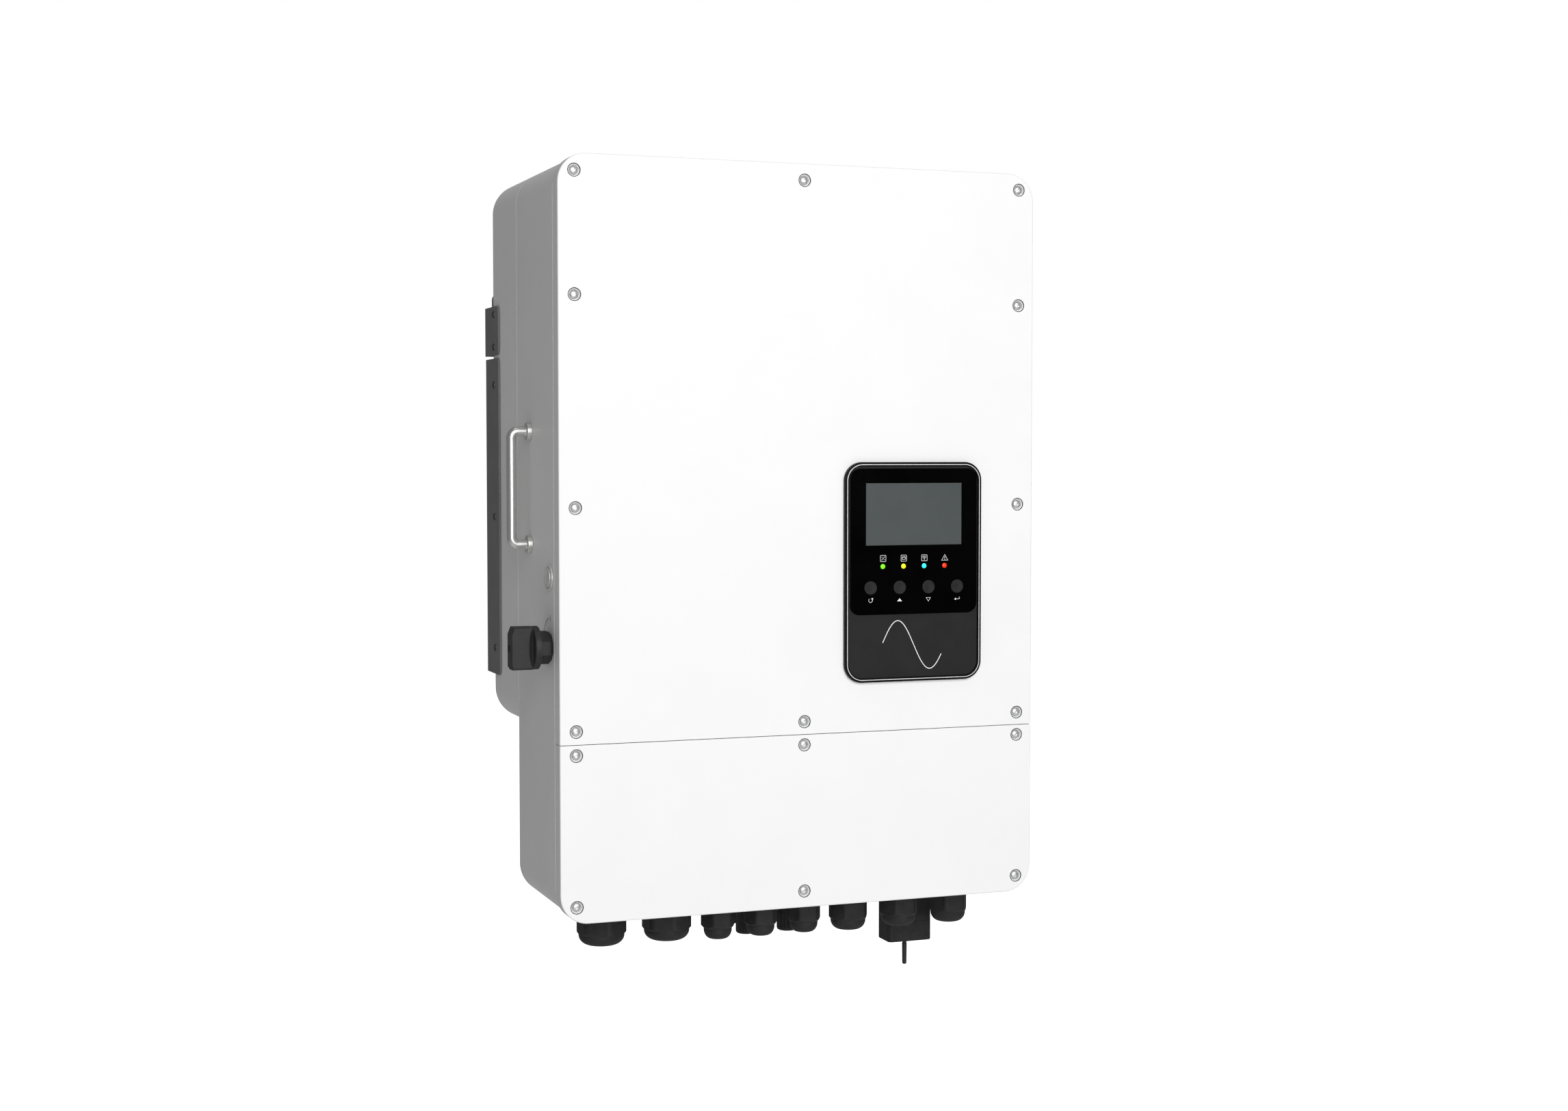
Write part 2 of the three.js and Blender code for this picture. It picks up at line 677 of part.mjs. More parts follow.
// fans standing on the rear housing's bottom, blowing up
function fanFrame() {
  const half = fanSize / 2;
  const reach = fanBore / 2 + weld;
  const screwAt = half - fanScrewInset;
  const frame = upSlab(roundedRect(-half, half, -half, half, fanCorner), 0, fanThickness, 2);
  const bore = rodZ(0, 0, -over, fanThickness + over, fanBore, 24);
  const motor = rodZ(0, 0, 0, fanPlateThickness, fanHub, 16);
  const across = box(-reach, reach, -fanArm / 2, fanArm / 2, 0, fanPlateThickness);
  const along = box(-fanArm / 2, fanArm / 2, -reach, reach, 0, fanPlateThickness);
  const screws = [-1, 1].flatMap((sx) => [-1, 1].map((sy) => rodZ(sx * screwAt, sy * screwAt, -over,
    fanThickness + over, fanScrewHole, 6)));
  return cut(join(cut(frame, bore), motor, across, along), ...screws);
}

function fanRotor() {
  const z0 = fanPlateThickness + fanRotorClear;
  const z1 = fanThickness - fanRotorClear;
  const root = fanHub / 2 - 2 * weld;
  const tip = fanBore / 2 - 2 * fanTipGap;
  let rotor = rodZ(0, 0, z0, z1, fanHub, 20);
  for (let i = 0; i < fanBlades; i += 1) {
    const blade = new THREE.BoxGeometry(tip - root, bladeWidth, bladeThickness);
    blade.rotateX(THREE.MathUtils.degToRad(bladePitch));
    blade.translate((tip + root) / 2, 0, (z0 + z1) / 2);
    blade.rotateZ((i * 2 * Math.PI) / fanBlades);
    rotor = rotor.add(solidOf(blade));
  }
  return rotor;
}

for (const [side, sign] of [['left', -1], ['right', 1]]) {
  const frame = add(`fan_frame_${side}`, fanFrame(), 0x252525, 0.6);
  const rotor = add(`fan_rotor_${side}`, fanRotor(), 0x1c1c1c, 0.5);
  for (const piece of [frame, rotor]) piece.position.set(sign * fanX, yRearMiddle, zRearBottom + wall + gap);
}

// side flanges shared by the shroud and the hanger: plates in the y-z plane with round front corners
function sideFlange(side, zLow, zHigh) {
  const shape = new THREE.Shape();
  const r = strapCorner;
  const y0 = yStrapFront;
  const y1 = yShroudBack;
  shape.moveTo(y1, zLow);
  shape.lineTo(y1, zHigh);
  shape.lineTo(y0 + r, zHigh);
  shape.absarc(y0 + r, zHigh - r, r, Math.PI / 2, Math.PI);
  shape.lineTo(y0, zLow + r);
  shape.absarc(y0 + r, zLow + r, r, Math.PI, 1.5 * Math.PI);
  shape.closePath();
  const near = halfWidth + gap;
  return side < 0 ? sideSlab(shape, -near - strap, -near) : sideSlab(shape, near, near + strap);
}

const outerHalf = halfWidth + gap + strap;

// shroud: a dark channel round the rear housing that keeps the wall clear of it
function shroud() {
  const rowPitch = shroudSlotLength + shroudSlotLand;
  const rows = Math.floor((zShroudTop - zShroudBottom - shroudSlotLand) / rowPitch);
  const channel = join(
    sideFlange(-1, zShroudBottom, zShroudTop),
    sideFlange(1, zShroudBottom, zShroudTop),
    box(-outerHalf, outerHalf, yShroudBack - strap, yShroudBack, zShroudBottom, zShroudTop));
  const slots = slotPlaces(shroudSlotPitch).flatMap((x) => Array.from({ length: rows }, (_, row) => {
    const z = zShroudMiddle + (row - (rows - 1) / 2) * rowPitch;
    return box(x - ventWidth / 2, x + ventWidth / 2, yShroudBack - strap - over, yShroudBack + over,
      z - shroudSlotLength / 2, z + shroudSlotLength / 2);
  }));
  return cut(channel, ...slots, ...strapHoles(shroudScrewHeights));
}

function strapHoles(heights) {
  return heights.map((z) => rodX(-outerHalf - over, outerHalf + over, yStrapScrew, z, strapScrewHole, 10));
}

add('rear_shroud', shroud(), darkSheet, 0.55, 0.2);

// hanger: a plate with two windows that drop over the wall bracket's hooks
function hanger() {
  const plate = join(
    sideFlange(-1, zHangerBottom, zHangerTop),
    sideFlange(1, zHangerBottom, zHangerTop),
    box(-outerHalf, outerHalf, yHangerFront, yHangerBack, zHangerBottom, zHangerTop),
    box(-outerHalf + hangerPlateInset, outerHalf - hangerPlateInset, yHangerFront, yHangerBack,
      zHangerBottom - hangerTail, hookZ + gap + hangerBridge));
  const half = hookWidth / 2 + hangerWindowSide;
  const windows = [-anchorPitch, anchorPitch].map((x) => box(x - half, x + half, yHangerFront - over,
    yHangerBack + over, hookZ - hookThickness - liftTravel - hangerWindowSide, hookZ + gap));
  return cut(plate, ...windows, ...strapHoles(hangerScrewHeights));
}

add('hanger_bracket', hanger(), darkSheet, 0.55, 0.2);

// wall bracket: a plate bolted to the wall, with two upturned hooks between its anchor holes
function wallBracket() {
  const yTongue = yHangerFront - gap;
  const hooks = [-anchorPitch, anchorPitch].flatMap((x) => [
    box(x - hookWidth / 2, x + hookWidth / 2, yTongue - hookThickness, -bracketPlate + weld,
      hookZ - hookThickness, hookZ),
    box(x - hookWidth / 2, x + hookWidth / 2, yTongue - hookThickness, yTongue, hookZ - hookThickness,
      hookZ + hookRise),
  ]);
  const plate = box(-bracketHalf, bracketHalf, -bracketPlate, 0, -bracketHeight / 2, bracketHeight / 2);
  const anchors = [-1.5, -0.5, 0.5, 1.5].map((step) => rodY(step * anchorPitch, -bracketPlate - over, over,
    0, anchorHole, 12));
  return cut(join(plate, ...hooks), ...anchors);
}

add('wall_bracket', wallBracket(), darkSheet, 0.55, 0.2);

// a round bar along a list of stations, each with a place and a heading
class StationCurve extends THREE.Curve {
  constructor(stations) {
    super();
    this.stations = stations;
  }

  at(u) {
    return this.stations[Math.round(u * (this.stations.length - 1))];
  }

  getPointAt(u, target = new THREE.Vector3()) {
    return target.copy(this.at(u).place);
  }

  getTangentAt(u, target = new THREE.Vector3()) {
    return target.copy(this.at(u).heading);
  }
}

// carrying handles: a bar bent at both ends, with a foot on each end, side -1 left and 1 right
function handle(side) {
  const half = handleCentres / 2;
  const foot = side * (halfWidth + gap);
  const bar = side * (halfWidth + handleReach);
  const place = (x, z) => new THREE.Vector3(x, yHandle, z);
  const stations = [{ place: place(foot, zHandle + half), heading: new THREE.Vector3(side, 0, 0) }];
  const bendSteps = 5;
  for (const end of [1, -1]) {
    for (let k = 0; k <= bendSteps; k += 1) {
      const turned = (Math.PI / 2) * (end > 0 ? k : bendSteps - k) / bendSteps;
      const x = bar - side * handleBend * (1 - Math.sin(turned));
      const z = zHandle + end * (half - handleBend * (1 - Math.cos(turned)));
      const heading = new THREE.Vector3(end * side * Math.cos(turned), 0, -Math.sin(turned));
      stations.push({ place: place(x, z), heading });
    }
  }
  stations.push({ place: place(foot, zHandle - half), heading: new THREE.Vector3(-side, 0, 0) });
  const section = new THREE.Shape();
  section.absarc(0, 0, handleRod / 2, 0, 2 * Math.PI);
  let solid = solidOf(new THREE.ExtrudeGeometry(section, {
    steps: stations.length - 1,
    extrudePath: new StationCurve(stations),
    curveSegments: 5,
    bevelEnabled: false,
  }));
  const outer = side * (halfWidth + gap + handleFootThickness);
  for (const z of [zHandle + half, zHandle - half]) {
    solid = solid.add(rodX(Math.min(foot, outer), Math.max(foot, outer), yHandle, z, handleFoot, 12));
  }
  return solid;
}

add('handle_left', handle(-1), steel, 0.3, 1);
add('handle_right', handle(1), steel, 0.3, 1);

// power button: a cap sliding in a bezel fixed in the left wall
const xLeft = -halfWidth;
const xButtonFace = xLeft - gap - buttonProud;

add('power_button_bezel', cut(
  join(
    rodX(xButtonFace, xLeft - gap, yControls, zButton, buttonBezel, 24),
    rodX(xLeft - gap - weld, xLeft + buttonWell + buttonFloor, yControls, zButton, buttonShank, 24)),
  rodX(xButtonFace - over, xLeft + buttonWell, yControls, zButton, buttonCap + 2 * gap, 24)), steel, 0.3, 1);
add('power_button_cap', rodX(xButtonFace - buttonCapProud, xLeft + buttonWell - buttonTravel - gap,
  yControls, zButton, buttonCap, 24), 0xd8d8d8, 0.4);

// isolator: an octagonal collar with its switch block inside the wall, and a knob that turns
const xCollarFace = xLeft - switchCollarDepth;

function switchBase() {
  const radius = switchCollarFlats / 2 / Math.cos(Math.PI / 8);
  const collar = new THREE.CylinderGeometry(radius, radius, xLeft - gap - xCollarFace, 8);
  collar.rotateY(Math.PI / 8);
  collar.rotateZ(Math.PI / 2);
  collar.translate((xCollarFace + xLeft - gap) / 2, yControls, zSwitch);
  const yInside = yFlangeBack + gap;
  const xInside = xLeft + wall + gap;
  return join(solidOf(collar), rodX(xLeft - gap - weld, xInside + weld, yControls, zSwitch, switchShank),
    box(xInside, xInside + switchBlockSide, yInside, yInside + switchBlockSide,
      zSwitch - switchBlockHeight / 2, zSwitch + switchBlockHeight / 2));
}

function switchKnob() {
  const xBack = xCollarFace - gap;
  const xDisc = xBack - switchDiscDepth;
  const xEnd = xLeft - switchGripReach;
  const half = switchGripLength / 2;
  const bevel = switchGripBevel;
  const outline = new THREE.Shape();
  outline.moveTo(xBack - weld, zSwitch - half + bevel);
  outline.lineTo(xBack - weld, zSwitch + half - bevel);
  outline.lineTo(xDisc, zSwitch + half);
  outline.lineTo(xEnd + bevel, zSwitch + half);
  outline.lineTo(xEnd, zSwitch + half - bevel);
  outline.lineTo(xEnd, zSwitch - half + bevel);
  outline.lineTo(xEnd + bevel, zSwitch - half);
  outline.lineTo(xDisc, zSwitch - half);
  outline.closePath();
  const grip = slab(outline, yControls - switchGripWidth / 2, yControls + switchGripWidth / 2,
    switchGripRound);
  return join(rodX(xDisc, xBack, yControls, zSwitch, switchDiscDiameter, 28), grip);
}

add('dc_switch_base', switchBase(), blackNylon, 0.5);
add('dc_switch_knob', switchKnob(), 0x303030, 0.45);

// display module: frame, face plate, glass, liquid-crystal panel, board, keys and lamps
function displayBezel() {
  const yTubBack = yFront + bezelTubDepth;
  const frame = cut(slab(displayOutline(0), yBezelFront, yFront - gap, bezelRound),
    slab(displayOutline(bezelFrame), yBezelFront - over, yBezelFloor),
    slab(displayOutline(bezelLip), yBezelFloor - over, yFront + over));
  const tub = cut(slab(displayOutline(bezelTubInset), yBezelFloor + weld, yTubBack),
    slab(displayOutline(bezelLip), yBezelFloor, yTubBack + over));
  return join(frame, tub);
}

function lcdWindow(y0, y1) {
  return box(displayX - lcdWidth / 2, displayX + lcdWidth / 2, y0, y1, zLcdBottom, zLcdTop);
}

function keyAndLampHoles(y0, y1) {
  return [
    ...keyXs.map((x) => rodY(x, y0, y1, zKeys, keyDiameter + 2 * gap, 12)),
    ...lampXs.map((x) => rodY(x, y0, y1, zLamps, lampDiameter + 2 * gap, 8)),
  ];
}

function frontPlate(outline, y0, y1) {
  return cut(slab(outline, y0, y1), lcdWindow(y0 - over, y1 + over),
    ...keyAndLampHoles(y0 - over, y1 + over));
}

const glassOutline = roundedRect(displayX - glassWidth / 2, displayX + glassWidth / 2,
  zGlassTop - glassHeight, zGlassTop, glassRadius);

add('display_bezel', displayBezel(), 0x1b1b1b, 0.35);
add('display_face_plate', frontPlate(displayOutline(bezelFrame + gap), yFacePlateFront, yFacePlateBack),
  0x323232, 0.45);
add('display_glass', frontPlate(glassOutline, yGlassFront, yGlassBack), 0x050505, 0.15);
add('lcd_module', box(displayX - lcdWidth / 2 + gap, displayX + lcdWidth / 2 - gap, yGlassFront + lcdSunk,
  yDisplayBoard - gap, zLcdBottom + gap, zLcdTop - gap), 0x586062, 0.25);
add('display_board', slab(displayOutline(bezelLip + gap), yDisplayBoard, yDisplayBoard + boardThickness,
  0, 2), 0x1f5b34, 0.5);

keyXs.forEach((x, index) => {
  const key = join(
    rodY(x, yGlassFront - keyProud, yFacePlateBack, zKeys, keyDiameter, 12),
    rodY(x, yFacePlateBack - weld, yDisplayBoard - gap - keyTravel, zKeys, keyStem, 6));
  add(`key_${index + 1}`, key, 0x363636, 0.5);
});

const lampColors = [0x7dff15, 0xfdfc14, 0x37feff, 0xff2c00];
lampXs.forEach((x, index) => {
  const lamp = rodY(x, yGlassFront - lampProud, yDisplayBoard - gap, zLamps, lampDiameter, 8);
  add(`status_lamp_${index + 1}`, lamp, lampColors[index], 0.3);
});

// cable glands: a body clamped through the bottom wall by its lock nut, and a cap nut with a blank seal
function glandBody(size) {
  const thread = glandThread(size);
  const nutBottom = wall + gap;
  return join(
    prismZ(0, 0, -gap - glandFlange, -gap, size.flats, 6, size.turn),
    rodZ(0, 0, -size.nut * glandThreadReach, nutBottom + weld, thread, 10),
    prismZ(0, 0, nutBottom, nutBottom + lockNutThickness, size.flats, 6));
}

function glandNut(size) {
  const zNutTop = -gap - glandFlange - gap;
  const zNutEnd = -size.nut;
  const zNose = zNutEnd - glandDomeHeight;
  const dome = size.dome / 2;
  const mouth = dome * glandMouthShare;
  const corner = size.flats / 2 / Math.cos(Math.PI / 6);
  // a turned blank with a chamfer at the lower end, cut to six flats, above a rounded nose
  const blank = turnedZ([[0, zNutTop], [corner, zNutTop], [corner, zNutEnd + corner - dome],
    [dome, zNutEnd], [0, zNutEnd]], 0, 0, 18);
  const flats = prismZ(0, 0, zNutEnd - over, zNutTop + over, size.flats, 6, size.turn);
  const nose = [[0, zNutEnd + over], [dome, zNutEnd + over], [dome, zNutEnd - glandNoseStep]];
  const noseSteps = 3;
  for (let k = 1; k <= noseSteps; k += 1) {
    const turned = (Math.PI / 2) * (k / noseSteps);
    nose.push([mouth + (dome - mouth) * Math.cos(turned),
      zNutEnd - glandNoseStep - (glandDomeHeight - glandNoseStep) * Math.sin(turned)]);
  }
  nose.push([0, zNose]);
  const mouthCut = rodZ(0, 0, zNose - over, zNose + glandMouthDepth, 2 * mouth - glandMouthRim, 10);
  const bore = rodZ(0, 0, -size.nut * glandThreadReach - gap, zNutTop + over,
    glandThread(size) + 2 * gap, 10);
  return cut(join(blank.intersect(flats), turnedZ(nose, 0, 0, 16)), mouthCut, bore);
}

for (const { name, shareX, size } of glands) {
  const body = add(`gland_${name}`, glandBody(size), blackNylon, 0.5);
  const nut = add(`gland_nut_${name}`, glandNut(size), blackNylon, 0.5);
  for (const piece of [body, nut]) piece.position.set(tenth(shareX * boxWidth), yGlands, zBottom);
}

// solar connectors with their caps on
function solarConnector(length) {
  const barrel = solarBarrel / 2;
  const zFlange = -gap - solarFlangeThickness;
  return turnedZ([
    [0, wall + solarInside], [solarShank / 2, wall + solarInside], [solarShank / 2, -gap],
    [solarFlange / 2, -gap], [solarFlange / 2, zFlange], [barrel, zFlange - solarTaper],
    [barrel, -length + solarTaper], [barrel - solarTaper, -length], [0, -length]], 0, 0, 12);
}

for (const { name, x, y, length } of solarPlaces()) {
  add(name, solarConnector(length), 0x242424, 0.5).position.set(x, y, zBottom);
}

// data logger: a plug-in box on a round neck, with a stub aerial below
function loggerHousing() {
  const halfX = loggerWidth / 2;
  const halfY = loggerDepth / 2;
  const zShell = -gap - loggerNeckLength;
  return join(
    upSlab(roundedRect(-halfX, halfX, -halfY, halfY, loggerCorner), -loggerBottom, zShell, 3),
    rodZ(0, 0, zShell - weld, -gap, loggerNeck),
    rodZ(0, 0, -gap - weld, wall + loggerInside, loggerShank, 16));
}

add('datalogger_housing', loggerHousing(), 0x2b2b2b, 0.5).position.set(xLogger, yLogger, zBottom);

const antennaRadius = antennaDiameter / 2;
add('datalogger_antenna', turnedZ([[0, 0], [antennaRadius, 0], [antennaRadius, -antennaLength + antennaTip],
  [antennaRadius / 2, -antennaLength], [0, -antennaLength]], 0, 0, 16), 0x242424, 0.5)
  .position.set(xLogger, yLogger, zBottom - loggerBottom - gap);

// boards and parts inside the main body
add('power_board', box(-halfWidth + powerBoardInset, halfWidth - powerBoardInset, yPowerBoard,
  yPowerBoard + boardThickness, zSplit + powerBoardInset, zTop - powerBoardInset), 0x1f5b34, 0.5);

function controlBoard() {
  const x1 = halfWidth - controlBoardSideInset;
  const y0 = yFront + controlBoardBehind;
  return box(x1 - controlBoardWidth, x1, y0, y0 + boardThickness, zDisplay - controlBoardHeight / 2,
    zDisplay + controlBoardHeight / 2);
}

add('control_board', controlBoard(), 0x1f5b34, 0.5);

function capacitorBank() {
  const pitch = capacitorDiameter + capacitorSpace;
  const half = (capacitorCount * pitch - capacitorSpace) / 2 + capacitorMargin;
  const halfHeight = capacitorDiameter / 2 + capacitorMargin;
  const z = zTop - capacitorDrop;
  const yBase = yPowerBoard - gap - capacitorBase;
  const cans = Array.from({ length: capacitorCount }, (_, i) => rodY((i - (capacitorCount - 1) / 2) * pitch,
    yBase - capacitorHeight, yBase + weld, z, capacitorDiameter, 12));
  return join(box(-half, half, yBase, yPowerBoard - gap, z - halfHeight, z + halfHeight), ...cans);
}

add('capacitor_bank', capacitorBank(), 0x2b4f8f, 0.4);

function terminals() {
  const width = boxWidth - 2 * terminalSideInset;
  const pitch = width / terminalWays;
  const z = (zSplit + zBottom) / 2;
  const y1 = yBackWall - gap;
  const y0 = y1 - terminalDepth;
  const slots = Array.from({ length: terminalWays - 1 }, (_, i) => {
    const x = -width / 2 + (i + 1) * pitch;
    return box(x - terminalSlot / 2, x + terminalSlot / 2, y0 - over, y0 + terminalSlotDepth,
      z - terminalHeight, z + terminalHeight);
  });
  return cut(box(-width / 2, width / 2, y0, y1, z - terminalHeight / 2, z + terminalHeight / 2), ...slots);
}

add('terminal_block', terminals(), 0x3c6b3c, 0.6);

export default inverter;
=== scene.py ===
import json
from math import cos, pi, radians, sin, sqrt, tau

import bmesh
import bpy
from mathutils import Matrix, Vector

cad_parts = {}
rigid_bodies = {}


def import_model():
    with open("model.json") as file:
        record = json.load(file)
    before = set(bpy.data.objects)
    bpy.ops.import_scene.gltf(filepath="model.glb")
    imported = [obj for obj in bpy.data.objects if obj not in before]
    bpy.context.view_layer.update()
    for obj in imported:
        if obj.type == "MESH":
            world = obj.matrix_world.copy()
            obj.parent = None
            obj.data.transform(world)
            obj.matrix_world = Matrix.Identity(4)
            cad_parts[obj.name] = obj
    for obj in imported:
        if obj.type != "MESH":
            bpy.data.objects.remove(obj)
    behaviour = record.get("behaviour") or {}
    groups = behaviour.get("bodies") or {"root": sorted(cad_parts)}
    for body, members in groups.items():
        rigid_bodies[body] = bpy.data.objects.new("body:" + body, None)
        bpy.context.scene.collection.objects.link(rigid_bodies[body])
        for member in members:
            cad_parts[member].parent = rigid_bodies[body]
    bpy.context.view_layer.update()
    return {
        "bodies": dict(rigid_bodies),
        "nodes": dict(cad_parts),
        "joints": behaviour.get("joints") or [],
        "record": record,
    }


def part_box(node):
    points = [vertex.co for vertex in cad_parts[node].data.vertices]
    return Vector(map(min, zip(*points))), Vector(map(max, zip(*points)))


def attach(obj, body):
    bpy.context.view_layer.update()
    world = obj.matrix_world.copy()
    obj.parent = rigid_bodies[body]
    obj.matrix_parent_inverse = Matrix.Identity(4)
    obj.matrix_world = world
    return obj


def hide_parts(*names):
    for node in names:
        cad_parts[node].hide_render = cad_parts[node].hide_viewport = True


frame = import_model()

print("frame loaded:", len(frame["nodes"]), "nodes")

# sizes below are in millimetres unless a name says otherwise; a finished mesh is scaled to metres

along = {"x": Vector((1, 0, 0)), "y": Vector((0, 1, 0)), "z": Vector((0, 0, 1))}
fitGap = 0.3  # space left between parts that touch


def near(one, other):
    return abs(one - other) < 0.01


def nodeBox(node):
    low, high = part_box(node)
    return Vector(low) * 1000, Vector(high) * 1000


def middleOf(node):
    low, high = nodeBox(node)
    return (low + high) / 2


def roundedBlock(low, high, radius=0, axis=1, segments=12, corners=None):
    low, high = Vector(low), Vector(high)
    bm = bmesh.new()
    bmesh.ops.create_cube(bm, size=1)
    bmesh.ops.scale(bm, vec=high - low, verts=bm.verts)
    bmesh.ops.translate(bm, vec=(low + high) / 2, verts=bm.verts)
    if radius > 0:
        edges = []
        for edge in bm.edges:
            start, end = (vert.co for vert in edge.verts)
            if abs((end - start)[axis]) > 1e-4 and (corners is None or corners((start + end) / 2)):
                edges.append(edge)
        bevelled(bm, edges, radius, segments)
    return bm


def bevelled(bm, edges, radius, segments=3):
    bmesh.ops.bevel(bm, geom=edges, offset=radius, offset_type="OFFSET", segments=segments, profile=0.5,
                    affect="EDGES", material=-1, clamp_overlap=True)
    return bm


# rounds every edge whose two ends pass the test
def roundWhere(bm, test, radius, segments=3):
    edges = [edge for edge in bm.edges if all(test(vert.co) for vert in edge.verts)]
    return bevelled(bm, edges, radius, segments)


# a shape made about the z axis is turned to face a direction and put in its place
def placed(bm, place, direction=(0, 0, 1), spin=0):
    turn = along["z"].rotation_difference(Vector(direction)).to_matrix() @ Matrix.Rotation(spin, 3, "Z")
    bmesh.ops.rotate(bm, cent=(0, 0, 0), matrix=turn, verts=bm.verts)
    bmesh.ops.translate(bm, vec=place, verts=bm.verts)
    return bm


# a line of edges through points, joined back to its start if closed
def chain(bm, points, closed=False):
    verts = [bm.verts.new(point) for point in points]
    ends = verts[1:] + (verts[:1] if closed else [])
    return verts + [bm.edges.new(pair) for pair in zip(verts, ends)]


# a lathe-turned solid; the profile runs as (radius, height) pairs from axis to axis
def turned(profile, place=(0, 0, 0), direction=(0, 0, 1), steps=48):
    bm = bmesh.new()
    line = chain(bm, [(radius, 0, height) for radius, height in profile])
    bmesh.ops.spin(bm, geom=line, cent=(0, 0, 0), axis=(0, 0, 1), angle=tau, steps=steps, use_merge=True)
    bmesh.ops.remove_doubles(bm, verts=bm.verts, dist=0.0005)
    bmesh.ops.recalc_face_normals(bm, faces=bm.faces)
    return placed(bm, place, direction)


def rod(radius, length, place, direction, steps=32):
    return turned([(0, 0), (radius, 0), (radius, length), (0, length)], place, direction, steps)


# a prism with flat sides, its vertical edges rounded
def prism(sides, acrossFlats, low, high, turn=0, corner=0, segments=4):
    bm = bmesh.new()
    radius = acrossFlats / 2 / cos(pi / sides)
    bmesh.ops.create_cone(bm, cap_ends=True, segments=sides, radius1=radius, radius2=radius, depth=high - low)
    bmesh.ops.rotate(bm, cent=(0, 0, 0), matrix=Matrix.Rotation(pi / sides + radians(turn), 3, "Z"),
                     verts=bm.verts)
    bmesh.ops.translate(bm, vec=(0, 0, (low + high) / 2), verts=bm.verts)
    if corner > 0:
        upright = [edge for edge in bm.edges if abs(edge.verts[0].co.z - edge.verts[1].co.z) > 1e-4]
        bevelled(bm, upright, corner, segments)
    return bm


# shallow finger grooves round a barrel
def gripGrooves(count, barrel, groove, low, high, middle=(0, 0), steps=12):
    ring = barrel + 0.3  # the tools lie a little outside, so they cut shallow
    spots = [(middle[0] + ring * cos(tau * i / count), middle[1] + ring * sin(tau * i / count), low)
             for i in range(count)]
    return [rod(groove, high - low, spot, along["z"], steps) for spot in spots]


# puts loose shapes together in one mesh, without joining them
def gathered(parts):
    whole = bmesh.new()
    for part in parts:
        mesh = bpy.data.meshes.new("part")
        part.to_mesh(mesh)
        part.free()
        whole.from_mesh(mesh)
        bpy.data.meshes.remove(mesh)
    return whole


def loose(bm, name):
    mesh = bpy.data.meshes.new(name)
    bm.to_mesh(mesh)
    bm.free()
    thing = bpy.data.objects.new(name, mesh)
    bpy.context.scene.collection.objects.link(thing)
    return thing


# joins or cuts solids one after another
def shaped(bm, *steps):
    target = loose(bm, "blank")
    tools = []
    for operation, tool in steps:
        cutter = loose(tool, "tool")
        tools.append(cutter)
        modifier = target.modifiers.new("shape", "BOOLEAN")
        modifier.operation = operation
        modifier.solver = "MANIFOLD"
        modifier.object = cutter
    mesh = bpy.data.meshes.new_from_object(target.evaluated_get(bpy.context.evaluated_depsgraph_get()))
    result = bmesh.new()
    result.from_mesh(mesh)
    for thing in [target, *tools]:
        used = thing.data
        bpy.data.objects.remove(thing)
        bpy.data.meshes.remove(used)
    bpy.data.meshes.remove(mesh)
    bmesh.ops.remove_doubles(result, verts=result.verts, dist=0.0005)
    bmesh.ops.dissolve_degenerate(result, edges=result.edges, dist=0.0005)
    return result


def cut(bm, *tools):
    return shaped(bm, *(("DIFFERENCE", tool) for tool in tools))


def join(bm, *tools):
    return shaped(bm, *(("UNION", tool) for tool in tools))


def common(bm, *tools):
    return shaped(bm, *(("INTERSECT", tool) for tool in tools))


# turns a shape into a finished piece that rides on a body and stands for CAD nodes
def piece(bm, name, material, stands=(), body="inverter", crease=34):
    bmesh.ops.scale(bm, vec=(0.001, 0.001, 0.001), verts=bm.verts)
    for edge in bm.edges:
        edge.smooth = len(edge.link_faces) == 2 and edge.calc_face_angle(0) < radians(crease)
    for face in bm.faces:
        face.smooth = True
    thing = loose(bm, name)
    thing.data.materials.append(material)
    weighted = thing.modifiers.new("weighted normals", "WEIGHTED_NORMAL")
    weighted.keep_sharp = True
    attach(thing, body)
    if stands:
        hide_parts(*stands)
    return thing


def toLinear(hexColour):
    parts = [int(hexColour[i:i + 2], 16) / 255 for i in (1, 3, 5)]
    return [p / 12.92 if p <= 0.04045 else ((p + 0.055) / 1.055) ** 2.4 for p in parts] + [1]


def addNode(tree, kind, values=None, links=None, **settings):
    node = tree.nodes.new("ShaderNode" + kind)
    for key, value in settings.items():
        setattr(node, key, value)
    for key, value in (values or {}).items():
        node.inputs[key].default_value = value
    for key, source in (links or {}).items():
        tree.links.new(source, node.inputs[key])
    return node


def perMetre(millimetres):
    return 1000 / millimetres


